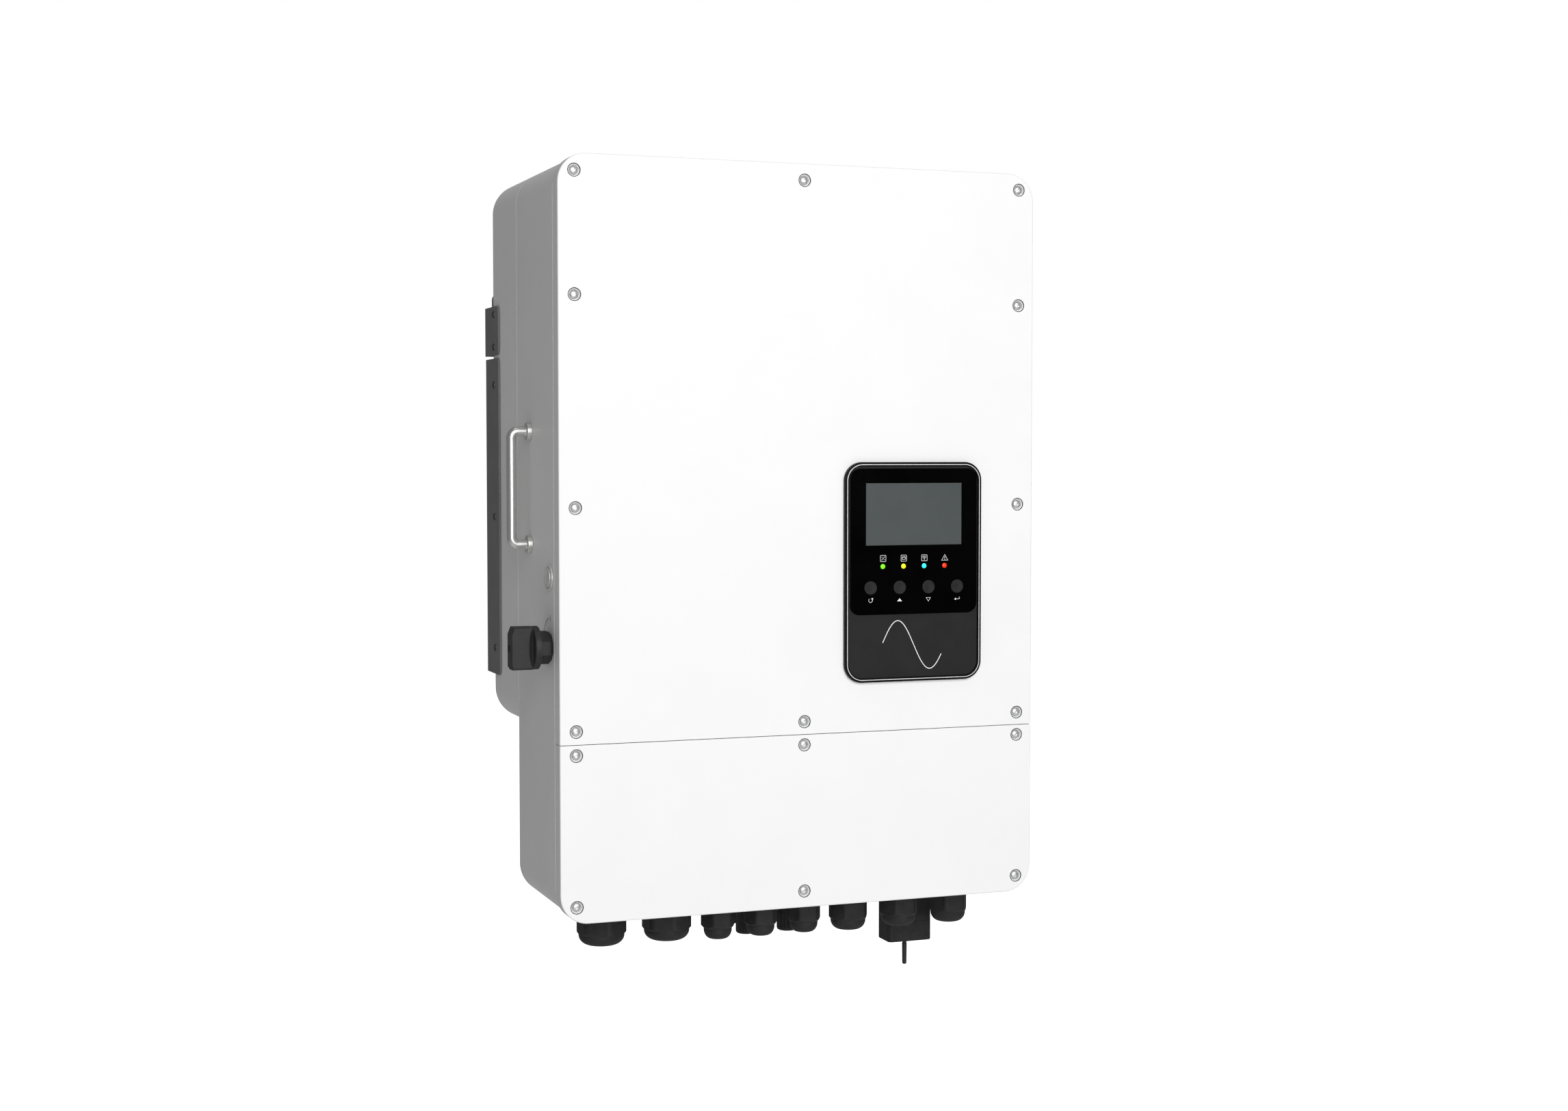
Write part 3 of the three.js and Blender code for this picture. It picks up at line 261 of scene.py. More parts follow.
# tones: darkest and lightest colour of a soft mottle; grain: fine bump; peel: broader bump;
# stretch: how much longer the pattern is along an axis; edgeWearAndSheen: paler edges, partly rubbed wear and
# partly a painted highlight
# (a colour Mix node takes its colours at inputs 6 and 7 and gives the result at output 2)
def finishMaterial(name, look):
    material = bpy.data.materials.new(name)
    material.use_nodes = True
    tree = material.node_tree
    shader = tree.nodes["Principled BSDF"]
    for socket, value in look.get("sockets", {}).items():
        shader.inputs[socket].default_value = value
    place = addNode(tree, "TexCoord").outputs["Object"]
    if "stretch" in look:
        place = addNode(tree, "Mapping", {"Scale": look["stretch"]}, {"Vector": place}).outputs["Vector"]
    mottle = addNode(tree, "TexNoise", {"Scale": perMetre(look["mottleMm"]), "Detail": 5, "Roughness": 0.6},
                     {"Vector": place}).outputs["Fac"]
    ramp = addNode(tree, "ValToRGB", links={"Fac": mottle})
    for stop, (position, tone) in zip(ramp.color_ramp.elements, zip((0.36, 0.64), look["tones"])):
        stop.position = position
        stop.color = toLinear(tone)
    colour = ramp.outputs["Color"]
    grain = addNode(tree, "TexNoise", {"Scale": perMetre(look["grainMm"]), "Detail": 3, "Roughness": 0.55},
                    {"Vector": place}).outputs["Fac"]
    rough = addNode(tree, "MapRange", {"From Min": 0.3, "From Max": 0.7, "To Min": look["rough"][0],
                                       "To Max": look["rough"][1]}, {"Value": mottle}).outputs["Result"]
    bump = addNode(tree, "Bump", {"Strength": 1.0, "Distance": look["grainDepthMm"] / 1000},
                   {"Height": grain}).outputs["Normal"]
    if "peelMm" in look:
        peel = addNode(tree, "TexNoise", {"Scale": perMetre(look["peelMm"]), "Detail": 2}, {"Vector": place})
        bump = addNode(tree, "Bump", {"Strength": 1.0, "Distance": look["peelDepthMm"] / 1000},
                       {"Height": peel.outputs["Fac"], "Normal": bump}).outputs["Normal"]
    # edges painted paler where the Bevel normal turns from the face normal: rubbed wear and a painted
    # highlight
    if "edgeWearAndSheenMm" in look:
        soft = addNode(tree, "Bevel", {"Radius": look["edgeWearAndSheenMm"] / 1000}, samples=4).outputs["Normal"]
        flat = addNode(tree, "NewGeometry").outputs["Normal"]
        same = addNode(tree, "VectorMath", links={0: soft, 1: flat}, operation="DOT_PRODUCT").outputs["Value"]
        patchy = addNode(tree, "Math", {1: 0.06}, {0: grain}, operation="MULTIPLY").outputs["Value"]
        wearAndSheen = addNode(tree, "Math", links={0: same, 1: patchy}, operation="ADD").outputs["Value"]
        mask = addNode(tree, "MapRange", {"From Min": 1.0, "From Max": 0.9, "To Min": 0.0,
                                          "To Max": look["edgeWearAndSheenAmount"]}, {"Value": wearAndSheen}).outputs["Result"]
        colour = addNode(tree, "Mix", {7: toLinear(look["edgeWearAndSheenTone"])}, {0: mask, 6: colour},
                         data_type="RGBA").outputs[2]
    tree.links.new(colour, shader.inputs["Base Color"])
    tree.links.new(rough, shader.inputs["Roughness"])
    tree.links.new(bump, shader.inputs["Normal"])
    return material


# white polyester powder coat on steel: near-white, satin, with the faint orange peel of baked powder; its
# edges are painted paler, rubbed wear and a painted highlight
whiteCoat = finishMaterial("whitePowderCoat", {
    "tones": ("#F2F2F2", "#F4F4F4"), "mottleMm": 70, "grainMm": 0.9, "grainDepthMm": 0.010, "peelMm": 2.8,
    "peelDepthMm": 0.022, "rough": (0.44, 0.56), "edgeWearAndSheenMm": 0.5, "edgeWearAndSheenAmount": 0.35, "edgeWearAndSheenTone": "#FAFAFA",
    "sockets": {"IOR": 1.5, "Specular IOR Level": 0.35}})

# grey powder coat, coarser and duller; folded edges are painted paler, rubbed wear and a painted highlight
greyCoat = finishMaterial("greyPowderCoat", {
    "tones": ("#6F6F70", "#7A7A7A"), "mottleMm": 45, "grainMm": 0.8, "grainDepthMm": 0.02, "peelMm": 2.2,
    "peelDepthMm": 0.03, "rough": (0.5, 0.62), "edgeWearAndSheenMm": 0.5, "edgeWearAndSheenAmount": 0.5, "edgeWearAndSheenTone": "#9A9A9A",
    "sockets": {"IOR": 1.5, "Specular IOR Level": 0.4}})

# drawn stainless bar, satin polished along its length: soft bright streak, fine lines
satinStainless = finishMaterial("satinStainlessSteel", {
    "tones": ("#DCDCDA", "#E8E8E6"), "mottleMm": 24, "grainMm": 0.5, "grainDepthMm": 0.006,
    "stretch": (1, 1, 0.04), "rough": (0.3, 0.4), "sockets": {"Metallic": 1.0}})

# turned and lacquered stainless on the button's ring: tool marks too fine to see, so a light mottle stands in
turnedStainless = finishMaterial("turnedStainlessSteel", {
    "tones": ("#DFDFDD", "#EAEAE8"), "mottleMm": 5, "grainMm": 0.35, "grainDepthMm": 0.004,
    "rough": (0.36, 0.48), "sockets": {"Metallic": 0.75}})

# zinc plated screws under a passivated film: bright, slightly cloudy
zincPlate = finishMaterial("zincPlatedSteel", {
    "tones": ("#D6D7D8", "#E6E6E7"), "mottleMm": 2.4, "grainMm": 0.4, "grainDepthMm": 0.008,
    "rough": (0.3, 0.45), "sockets": {"Metallic": 0.8}})

# screws blackened by a zinc-nickel finish: dark, dull metal
blackenedSteel = finishMaterial("blackenedZincNickel", {
    "tones": ("#565657", "#666667"), "mottleMm": 3, "grainMm": 0.4, "grainDepthMm": 0.01,
    "rough": (0.4, 0.55), "sockets": {"Metallic": 1.0}})

# the button's cap: satin chromed plastic, paler than the ring round it
capPlastic = finishMaterial("satinChromedPlastic", {
    "tones": ("#E0E0DF", "#EAEAE8"), "mottleMm": 6, "grainMm": 0.4, "grainDepthMm": 0.006,
    "rough": (0.36, 0.46), "sockets": {"Metallic": 0.45, "IOR": 1.5}})

# moulded polyamide: black, spark-eroded mould texture; its edges are painted paler, a painted highlight where
# they catch a little light, with some rubbed wear
blackPolyamide = finishMaterial("mouldedPolyamide", {
    "tones": ("#262626", "#2E2E2E"), "mottleMm": 9, "grainMm": 0.45, "grainDepthMm": 0.02,
    "rough": (0.42, 0.58), "edgeWearAndSheenMm": 0.35, "edgeWearAndSheenAmount": 0.5, "edgeWearAndSheenTone": "#454545",
    "sockets": {"IOR": 1.53, "Specular IOR Level": 0.2}})

# the knob's glass-filled polyamide, a shade paler than the glands; its edges are painted paler, rubbed wear
# and a painted highlight
knobPolyamide = finishMaterial("glassFilledPolyamide", {
    "tones": ("#2C2C2C", "#333333"), "mottleMm": 7, "grainMm": 0.5, "grainDepthMm": 0.018,
    "rough": (0.4, 0.54), "edgeWearAndSheenMm": 0.4, "edgeWearAndSheenAmount": 0.5, "edgeWearAndSheenTone": "#505050",
    "sockets": {"IOR": 1.53, "Specular IOR Level": 0.18}})

# injection moulded ABS with a polished outer frame: near black and glossy; its edges are painted paler,
# rubbed wear and a painted highlight
glossAbs = finishMaterial("polishedAbs", {
    "tones": ("#0E0E0E", "#121212"), "mottleMm": 20, "grainMm": 1.2, "grainDepthMm": 0.003,
    "rough": (0.26, 0.34), "edgeWearAndSheenMm": 0.3, "edgeWearAndSheenAmount": 0.25, "edgeWearAndSheenTone": "#262626",
    "sockets": {"IOR": 1.52, "Specular IOR Level": 0.07}})

# satin ABS face plate and keys: dark grey, even, fine spark texture
satinAbs = finishMaterial("satinAbs", {
    "tones": ("#222222", "#262626"), "mottleMm": 26, "grainMm": 0.4, "grainDepthMm": 0.012,
    "rough": (0.42, 0.5), "sockets": {"IOR": 1.52, "Specular IOR Level": 0.12}})

# the paler satin key tops
keyAbs = finishMaterial("satinAbsKeys", {
    "tones": ("#242424", "#292929"), "mottleMm": 6, "grainMm": 0.35, "grainDepthMm": 0.014,
    "rough": (0.4, 0.5), "sockets": {"IOR": 1.52, "Specular IOR Level": 0.12}})

# toughened glass printed black from behind: deep black, mirror smooth, faint finger smudges
printedGlass = finishMaterial("backPrintedGlass", {
    "tones": ("#010101", "#030303"), "mottleMm": 34, "grainMm": 9, "grainDepthMm": 0.002,
    "rough": (0.05, 0.13), "sockets": {"IOR": 1.5, "Specular IOR Level": 0.06}})

# a switched-off liquid-crystal panel under a matt polariser: cool, even grey
liquidCrystal = finishMaterial("liquidCrystalPanel", {
    "tones": ("#494E4F", "#4C5152"), "mottleMm": 40, "grainMm": 0.6, "grainDepthMm": 0.004,
    "rough": (0.3, 0.36), "sockets": {"IOR": 1.5, "Specular IOR Level": 0.2}})

# silicone gasket: matt, grey, slightly dusty
siliconeRubber = finishMaterial("siliconeRubber", {
    "tones": ("#5E5E5E", "#6A6A6A"), "mottleMm": 8, "grainMm": 0.6, "grainDepthMm": 0.02,
    "rough": (0.7, 0.85), "sockets": {"IOR": 1.41, "Specular IOR Level": 0.3}})

# nitrile seals in the glands: black and dull
nitrileRubber = finishMaterial("nitrileRubber", {
    "tones": ("#1B1B1B", "#242424"), "mottleMm": 4, "grainMm": 0.4, "grainDepthMm": 0.02,
    "rough": (0.62, 0.78), "sockets": {"IOR": 1.5, "Specular IOR Level": 0.3}})

# extruded aluminium: pale, with drawing lines along the fins
extrudedAluminium = finishMaterial("extrudedAluminium", {
    "tones": ("#A9ABAD", "#B9BBBD"), "mottleMm": 12, "grainMm": 0.6, "grainDepthMm": 0.01,
    "stretch": (1, 1, 0.05), "rough": (0.38, 0.5), "sockets": {"Metallic": 1.0}})

# fan plastic, a glass-filled polyester: black with a slight sheen
fanPolyester = finishMaterial("glassFilledPolyester", {
    "tones": ("#151515", "#1D1D1D"), "mottleMm": 6, "grainMm": 0.5, "grainDepthMm": 0.015,
    "rough": (0.36, 0.5), "sockets": {"IOR": 1.55}})

# circuit board under green solder mask, blotched where copper lies beneath
solderMask = finishMaterial("solderMaskedBoard", {
    "tones": ("#123D22", "#1F6A39"), "mottleMm": 3.2, "grainMm": 0.8, "grainDepthMm": 0.03,
    "stretch": (1, 1, 0.4), "rough": (0.3, 0.5), "sockets": {"IOR": 1.5}})

# capacitor sleeve: blue shrink film
shrinkSleeve = finishMaterial("shrinkSleeve", {
    "tones": ("#1D3C78", "#234588"), "mottleMm": 12, "grainMm": 1.4, "grainDepthMm": 0.03,
    "rough": (0.25, 0.4), "sockets": {"IOR": 1.48}})

# terminal block in flame-retardant polyamide
greenPolyamide = finishMaterial("greenPolyamide", {
    "tones": ("#2F5B31", "#386A3A"), "mottleMm": 10, "grainMm": 0.5, "grainDepthMm": 0.015,
    "rough": (0.45, 0.6), "sockets": {"IOR": 1.53}})

# screen-printed marks: opaque white and grey ink, slightly uneven; silver paint fills the frame's line
whiteInk = finishMaterial("whiteScreenInk", {
    "tones": ("#E9E9E9", "#F4F4F4"), "mottleMm": 1.5, "grainMm": 0.3, "grainDepthMm": 0.004,
    "rough": (0.5, 0.65), "sockets": {"IOR": 1.5, "Specular IOR Level": 0.3}})
silverPaint = finishMaterial("silverPaint", {
    "tones": ("#C4C4C4", "#D2D2D1"), "mottleMm": 3, "grainMm": 0.3, "grainDepthMm": 0.004,
    "rough": (0.35, 0.45), "sockets": {"Metallic": 0.25, "IOR": 1.5}})
darkInk = finishMaterial("darkScreenInk", {
    "tones": ("#2F3032", "#3B3C3E"), "mottleMm": 1.5, "grainMm": 0.3, "grainDepthMm": 0.004,
    "rough": (0.5, 0.65), "sockets": {"IOR": 1.5, "Specular IOR Level": 0.3}})

# a cast acrylic lens over a lit diode, a little brighter in patches
lampTones = [("#6FE514", "#7DFF15"), ("#EDE81A", "#FDFC14"), ("#2FE4EE", "#37FEFF"), ("#E62A00", "#FF2C00")]
lampLenses = []
for number, (deep, bright) in enumerate(lampTones, 1):
    lampLenses.append(finishMaterial("castAcrylicLens%d" % number, {
        "tones": (deep, bright), "mottleMm": 1.6, "grainMm": 0.8, "grainDepthMm": 0.004, "rough": (0.12, 0.2),
        "sockets": {"IOR": 1.49, "Emission Color": toLinear(bright), "Emission Strength": 0.55}}))
print("materials made:", len(bpy.data.materials))


cover = {"cornerRadius": 24, "edgeRound": 1.2, "sheet": 2, "screwInset": 14, "boss": 7.5,
         "rowDrops": (114.3, 287.8), "aboveSplit": 10.6, "belowSplit": 8.6,
         "pocketRadius": 5.5, "pocketDepth": 3, "pocketCone": 4.3, "coneDepth": 1.3, "hole": 2.3,
         "holeDepth": 16.5}
upperLow, upperHigh = nodeBox("front_cover_upper")
lowerLow, lowerHigh = nodeBox("front_cover_lower")
frontY, rimY = upperLow.y, upperHigh.y
halfWidth = upperHigh.x
topZ, bottomZ = upperHigh.z, lowerLow.z
splitZ = (upperLow.z + lowerHigh.z) / 2


def screwPlaces():
    upper, lower = [], []
    for x in (-halfWidth + cover["screwInset"], 0, halfWidth - cover["screwInset"]):
        upper += [(x, topZ - cover["screwInset"]), (x, upperLow.z + cover["aboveSplit"])]
        lower += [(x, lowerHigh.z - cover["belowSplit"]), (x, bottomZ + cover["screwInset"])]
        if x:
            upper += [(x, topZ - drop) for drop in cover["rowDrops"]]
    return upper, lower


# a stepped pocket with a coned wall, and the clearance hole at its bottom
def screwPocket(x, z):
    mouth, cone, deep, hole = cover["pocketRadius"], cover["pocketCone"], cover["pocketDepth"], cover["hole"]
    through = cover["holeDepth"]
    return turned([(0, -1), (mouth + 0.3, -1), (mouth + 0.3, 0), (mouth, 0.35), (mouth, 0.6),
                   (cone, cover["coneDepth"]), (cone, deep), (hole, deep), (hole, through), (0, through)],
                  (x, frontY, z), along["y"], 40)


def coverPiece(name, node, low, high, screws, keepAbove, window=None):
    wallIn, way = cover["sheet"], 1 if keepAbove else -1
    bm = roundedBlock((-halfWidth, frontY, bottomZ), (halfWidth, rimY, topZ), cover["cornerRadius"], 1, 24)
    roundWhere(bm, lambda co: near(co.y, frontY), cover["edgeRound"], 4)
    planeZ = low.z if keepAbove else high.z
    bmesh.ops.bisect_plane(bm, geom=bm.verts[:] + bm.edges[:] + bm.faces[:], plane_co=(0, 0, planeZ),
                           plane_no=(0, 0, -way), clear_outer=True, dist=0.0001)
    bmesh.ops.holes_fill(bm, edges=[e for e in bm.edges if e.is_boundary])
    hollow = roundedBlock((-halfWidth + wallIn, frontY + wallIn, low.z + wallIn),
                          (halfWidth - wallIn, rimY + 2, high.z - wallIn), cover["cornerRadius"] - wallIn, 1,
                          16, lambda middle: way * (middle.z - splitZ) > 50)
    bosses = gathered([rod(cover["boss"], rimY - frontY, (x, frontY + 0.5, z), along["y"], 24)
                       for x, z in screws])
    tools = [cut(hollow, bosses), gathered([screwPocket(x, z) for x, z in screws])]
    if window:
        tools.append(window)
    return piece(cut(bm, *tools), name, whiteCoat, [node])


bezelLow, bezelHigh = nodeBox("display_bezel")
display = {"radius": 16, "frame": 3.4, "rim": 1.0, "lip": 8.2, "tubInset": 6.4, "floor": 1.2,
           "inlayOuter": 1.8, "inlayInner": 2.5, "inlayProud": 0.05}


def displayBlock(inset, y0, y1, segments=16):
    low, high = (bezelLow.x + inset, y0, bezelLow.z + inset), (bezelHigh.x - inset, y1, bezelHigh.z - inset)
    return roundedBlock(low, high, display["radius"] - inset, 1, segments)


upperScrews, lowerScrews = screwPlaces()
coverPiece("upper_cover", "front_cover_upper", upperLow, upperHigh, upperScrews, True,
           displayBlock(display["tubInset"] - fitGap, frontY - 2, frontY + 5))
coverPiece("lower_cover", "front_cover_lower", lowerLow, lowerHigh, lowerScrews, False)

# a dark rubber strip lies in the gap between the two covers
strip = {"inset": 1.5, "sunk": 1.6, "clearance": 0.02, "corner": 0.2}
stripEnd, stripGap = halfWidth - strip["inset"], strip["clearance"]
stripShape = roundedBlock((-stripEnd, frontY + strip["sunk"], lowerHigh.z + stripGap),
                          (stripEnd, rimY, upperLow.z - stripGap), strip["corner"], 0, 2)
piece(stripShape, "split_strip", nitrileRubber)
print("covers made")

# button-head socket screws, one in each pocket
screwHead = {"radius": 3.9, "height": 2.5, "rim": 0.5, "socket": 2.6, "socketDepth": 1.5, "shank": 2,
             "length": 10}


def coverScrew(x, z):
    r, h, rim = screwHead["radius"], screwHead["height"], screwHead["rim"]
    crown = [(r * sin(t * pi / 12), rim + (h - rim) * cos(t * pi / 12)) for t in range(1, 6)]
    profile = [(0, h), *crown, (r, rim), (r, 0), (screwHead["shank"], 0),
               (screwHead["shank"], -screwHead["length"]), (0, -screwHead["length"])]
    seat = frontY + cover["pocketDepth"] - 0.02
    head = turned(profile, (x, seat, z), -along["y"], 32)
    socket = placed(prism(6, screwHead["socket"], h - screwHead["socketDepth"], h + 1, 12), (x, seat, z),
                    -along["y"])
    return cut(head, socket)


# a thin black rubber ring pressed into the mouth of each pocket: painted shade, a dark ring where the shade
# round the pocket's rim falls
shadeRing = {"outer": 5.48, "inner": 4.95, "sunk": 0.25, "thick": 0.6}


def pocketShadeRing(x, z):
    outer, inner, sunk = shadeRing["outer"], shadeRing["inner"], shadeRing["sunk"]
    ring = turned([(0, 0), (outer, 0), (outer, shadeRing["thick"]), (0, shadeRing["thick"])],
                  (x, frontY + sunk + shadeRing["thick"], z), -along["y"], 40)
    return cut(ring, rod(inner, 3, (x, frontY - 1, z), along["y"], 40))


for group, screws in (("upper", upperScrews), ("lower", lowerScrews)):
    # black rings in the pocket mouths, painted shade round each pocket's rim
    shadeRings = gathered([pocketShadeRing(x, z) for x, z in screws])
    piece(shadeRings, "pocket_shade_rings_" + group, nitrileRubber)
    for number, (x, z) in enumerate(screws, 1):
        piece(coverScrew(x, z), "cover_screw_%s_%d" % (group, number), zincPlate)
print("cover screws made:", len(upperScrews) + len(lowerScrews))


housing = {"cornerRadius": 28, "wall": 2.5, "flange": 22, "flangeThickness": 3, "flangeCorner": 4,
           "shelf": 3, "edge": 0.8, "rearRound": 6, "slot": 3.6, "slotPitch": 7.6, "fanBore": 74,
           "topSlot": 52, "topSlotPitch": 17, "topSlots": 20, "strapThread": 1.8, "strapScrewY": -38.4,
           "coverThread": 2, "solarHole": 7.7, "loggerHole": 8.3, "buttonHole": 9.5, "isolatorHole": 9.3}
bodyLow, bodyHigh = nodeBox("main_body")
rearLow, rearHigh = nodeBox("rear_housing")
strapScrewZs = [8.4, -21.0, -55.0, -174.0, -293.0]


def mainBodyPiece():
    wallIn, flange = housing["wall"], housing["flange"]
    bm = roundedBlock(bodyLow, bodyHigh, housing["cornerRadius"], 1, 24)
    roundWhere(bm, lambda co: near(co.y, bodyHigh.y), housing["edge"], 3)
    roundWhere(bm, lambda co: near(co.y, bodyLow.y), housing["edge"], 3)
    insideLow = Vector((bodyLow.x + wallIn, bodyLow.y + housing["flangeThickness"], bodyLow.z + wallIn))
    insideHigh = Vector((bodyHigh.x - wallIn, bodyHigh.y - wallIn, bodyHigh.z - wallIn))
    upper = roundedBlock((insideLow.x, insideLow.y, splitZ + housing["shelf"] / 2), insideHigh,
                         housing["cornerRadius"] - wallIn, 1, 16, lambda middle: middle.z > 0)
    lower = roundedBlock(insideLow, (insideHigh.x, insideHigh.y, splitZ - housing["shelf"] / 2),
                         housing["cornerRadius"] - wallIn, 1, 16, lambda middle: middle.z < splitZ - 50)
    windows = gathered([roundedBlock((bodyLow.x + flange, bodyLow.y - 1, low + flange),
                                     (bodyHigh.x - flange, bodyLow.y + 6, high - flange),
                                     housing["flangeCorner"], 1, 6)
                        for low, high in ((splitZ, bodyHigh.z), (bodyLow.z, splitZ))])
    holes = [rod(housing["coverThread"], 6, (x, bodyLow.y - 1, z), along["y"], 12)
             for x, z in upperScrews + lowerScrews]
    below = [(node, glandSizeOf(node)["thread"] + fitGap) for node in glandNodes]
    below += [(node, housing["solarHole"]) for node in solarNodes]
    below.append(("datalogger_housing", housing["loggerHole"]))
    for node, radius in below:
        centre = middleOf(node)
        holes.append(rod(radius, 6, (centre.x, centre.y, bodyLow.z - 2), along["z"], 32))
    for node, radius in (("power_button_cap", housing["buttonHole"]),
                         ("dc_switch_knob", housing["isolatorHole"])):
        centre = middleOf(node)
        holes.append(rod(radius, 8, (bodyLow.x - 2, centre.y, centre.z), along["x"], 32))
    return cut(bm, upper, lower, windows, gathered(holes))


def rearHousingPiece():
    wallIn = housing["wall"]
    bm = roundedBlock(rearLow, rearHigh, housing["cornerRadius"], 1, 24)
    roundWhere(bm, lambda co: near(co.y, rearHigh.y), housing["rearRound"], 6)
    roundWhere(bm, lambda co: near(co.y, rearLow.y), housing["edge"], 3)
    inside = roundedBlock((rearLow.x + wallIn, rearLow.y - 1, rearLow.z + wallIn),
                          (rearHigh.x - wallIn, rearHigh.y - wallIn, rearHigh.z - wallIn),
                          housing["cornerRadius"] - wallIn, 1, 16)
    middleY = (rearLow.y + rearHigh.y) / 2
    half = housing["slot"] / 2
    slots = []
    for i in range(housing["topSlots"]):
        x = (i - (housing["topSlots"] - 1) / 2) * housing["topSlotPitch"]
        slots.append(roundedBlock((x - half, middleY - housing["topSlot"] / 2, rearHigh.z - 4),
                                  (x + half, middleY + housing["topSlot"] / 2, rearHigh.z + 1),
                                  half - 0.05, 2, 6))
    reach = housing["fanBore"] / 2
    for side in ("left", "right"):
        centre = middleOf("fan_frame_" + side)
        for i in range(-4, 5):
            offset = i * housing["slotPitch"]
            length = sqrt(reach * reach - offset * offset)
            x = centre.x + offset
            slots.append(roundedBlock((x - half, centre.y - length, rearLow.z - 1),
                                      (x + half, centre.y + length, rearLow.z + 4), half - 0.05, 2, 6))
    threads = [rod(housing["strapThread"], 2 * halfWidth + 8, (-halfWidth - 4, housing["strapScrewY"], z),
                   along["x"], 16) for z in strapScrewZs]
    return cut(bm, inside, gathered(slots), gathered(threads))


glandNames = ["battery_positive", "battery_negative", "meter", "can", "parallel", "grid", "backup",
              "generator"]
glandNodes = ["gland_" + name for name in glandNames]
solarNodes = ["solar_connector_1a", "solar_connector_1b", "solar_connector_2a", "solar_connector_2b"]
batteryGland = {"flats": 39, "dome": 19.6, "nut": 21.9, "turn": -23.6, "corner": 4, "thread": 12.87}
signalGland = {"flats": 27, "dome": 12.3, "nut": 24.8, "turn": -3, "corner": 1.7, "thread": 8.91}
gridGland = {"flats": 32.2, "dome": 15.6, "nut": 25.5, "turn": 0, "corner": 2, "thread": 10.63}


def glandSizeOf(node):
    if "battery" in node:
        return batteryGland
    return signalGland if node.split("_")[-1] in ("meter", "can", "parallel") else gridGland


piece(mainBodyPiece(), "body_shell", whiteCoat, ["main_body"])
piece(rearHousingPiece(), "rear_shell", whiteCoat, ["rear_housing"])
print("housings made")


def vertsOf(geometry):
    return [part for part in geometry if isinstance(part, bmesh.types.BMVert)]


# gives the faces of a flat shape some thickness along z
def thickened(bm, thickness):
    grown = bmesh.ops.extrude_face_region(bm, geom=bm.faces[:])["geom"]
    bmesh.ops.translate(bm, vec=(0, 0, thickness), verts=vertsOf(grown))
    bmesh.ops.recalc_face_normals(bm, faces=bm.faces)
    return bm


# a flat outline given as (u, v) pairs, made a solid; w points out of its plane
def outlined(points, thickness, low=0.0):
    bm = bmesh.new()
    bm.faces.new([bm.verts.new((u, v, low)) for u, v in points])
    return thickened(bm, thickness)


# a stroke of even width along (u, v) points: its two sides are bridged, then thickened
def stroke(points, width, thickness, closed=False):
    points = [Vector(p) for p in points]
    sides = ([], [])
    for i, here in enumerate(points):
        before = points[i - 1] if closed or i else here
        after = points[(i + 1) % len(points)] if closed or i + 1 < len(points) else here
        into, out = here - before, after - here
        into = (into if into.length else out).normalized()
        out = (out if out.length else into).normalized()
        lean = (into + out).normalized()
        across = Vector((-lean.y, lean.x)) * (width / 2 / max(lean.dot(into), 0.4))
        sides[0].append((*(here + across), 0))
        sides[1].append((*(here - across), 0))
    bm = bmesh.new()
    for side in sides:
        chain(bm, side, closed)
    bmesh.ops.bridge_loops(bm, edges=bm.edges[:])
    return thickened(bm, thickness)


# points round a middle from one angle to another, in degrees
def arc(radius, start, end, steps=24, middle=(0, 0)):
    angles = [radians(start + (end - start) * i / steps) for i in range(steps + 1)]
    return [(middle[0] + radius * cos(angle), middle[1] + radius * sin(angle)) for angle in angles]


# lays a flat shape on a plane: u runs right, v up and w out of the surface
def laid(bm, place, right, up):
    right, up = Vector(right), Vector(up)
    turn = Matrix((right, up, right.cross(up))).transposed()
    bmesh.ops.rotate(bm, cent=(0, 0, 0), matrix=turn, verts=bm.verts)
    bmesh.ops.translate(bm, vec=place, verts=bm.verts)
    return bm


# folded steel behind the unit: shroud, hanger and wall bracket
strap = {"sheet": 1.6, "corner": 7, "foldOuter": 2.6, "foldInner": 1.0, "hole": 2.2,
         "slotWidth": 3.6, "slotLength": 80, "slotPitch": 24, "slotColumns": 14, "slotLand": 28}
shroudLow, shroudHigh = nodeBox("rear_shroud")
hangerLow, hangerHigh = nodeBox("hanger_bracket")
bracketLow, bracketHigh = nodeBox("wall_bracket")


def strapHoles(heights):
    return gathered([rod(strap["hole"], 2 * halfWidth + 12, (-halfWidth - 6, housing["strapScrewY"], z),
                         along["x"], 20) for z in heights])


# a folded channel: two side flanges with rounded front corners and a back between them
def channel(low, high):
    sheet = strap["sheet"]
    sides = roundedBlock(low, high, strap["corner"], 0, 10, lambda middle: near(middle.y, low.y))
    folds = roundedBlock(low - Vector((0, 4, 4)), high + Vector((0, 0, 4)), strap["foldOuter"], 2, 6,
                         lambda middle: near(middle.y, high.y))
    inside = roundedBlock((low.x + sheet, low.y - 6, low.z - 6), (high.x - sheet, high.y - sheet, high.z + 6),
                          strap["foldInner"], 2, 6, lambda middle: near(middle.y, high.y - sheet))
    return cut(common(sides, folds), inside)


# two rows of upright slots in the channel's back
def shroudPiece():
    middleZ = (shroudLow.z + shroudHigh.z) / 2
    pitch = strap["slotLength"] + strap["slotLand"]
    half = strap["slotWidth"] / 2
    slots = []
    for i in range(strap["slotColumns"]):
        x = (i - (strap["slotColumns"] - 1) / 2) * strap["slotPitch"]
        for z in (middleZ - pitch / 2, middleZ + pitch / 2):
            slots.append(roundedBlock((x - half, shroudHigh.y - 4, z - strap["slotLength"] / 2),
                                      (x + half, shroudHigh.y + 2, z + strap["slotLength"] / 2),
                                      half - 0.05, 1, 6))
    return cut(channel(shroudLow, shroudHigh), gathered(slots), strapHoles(strapScrewZs[2:]))


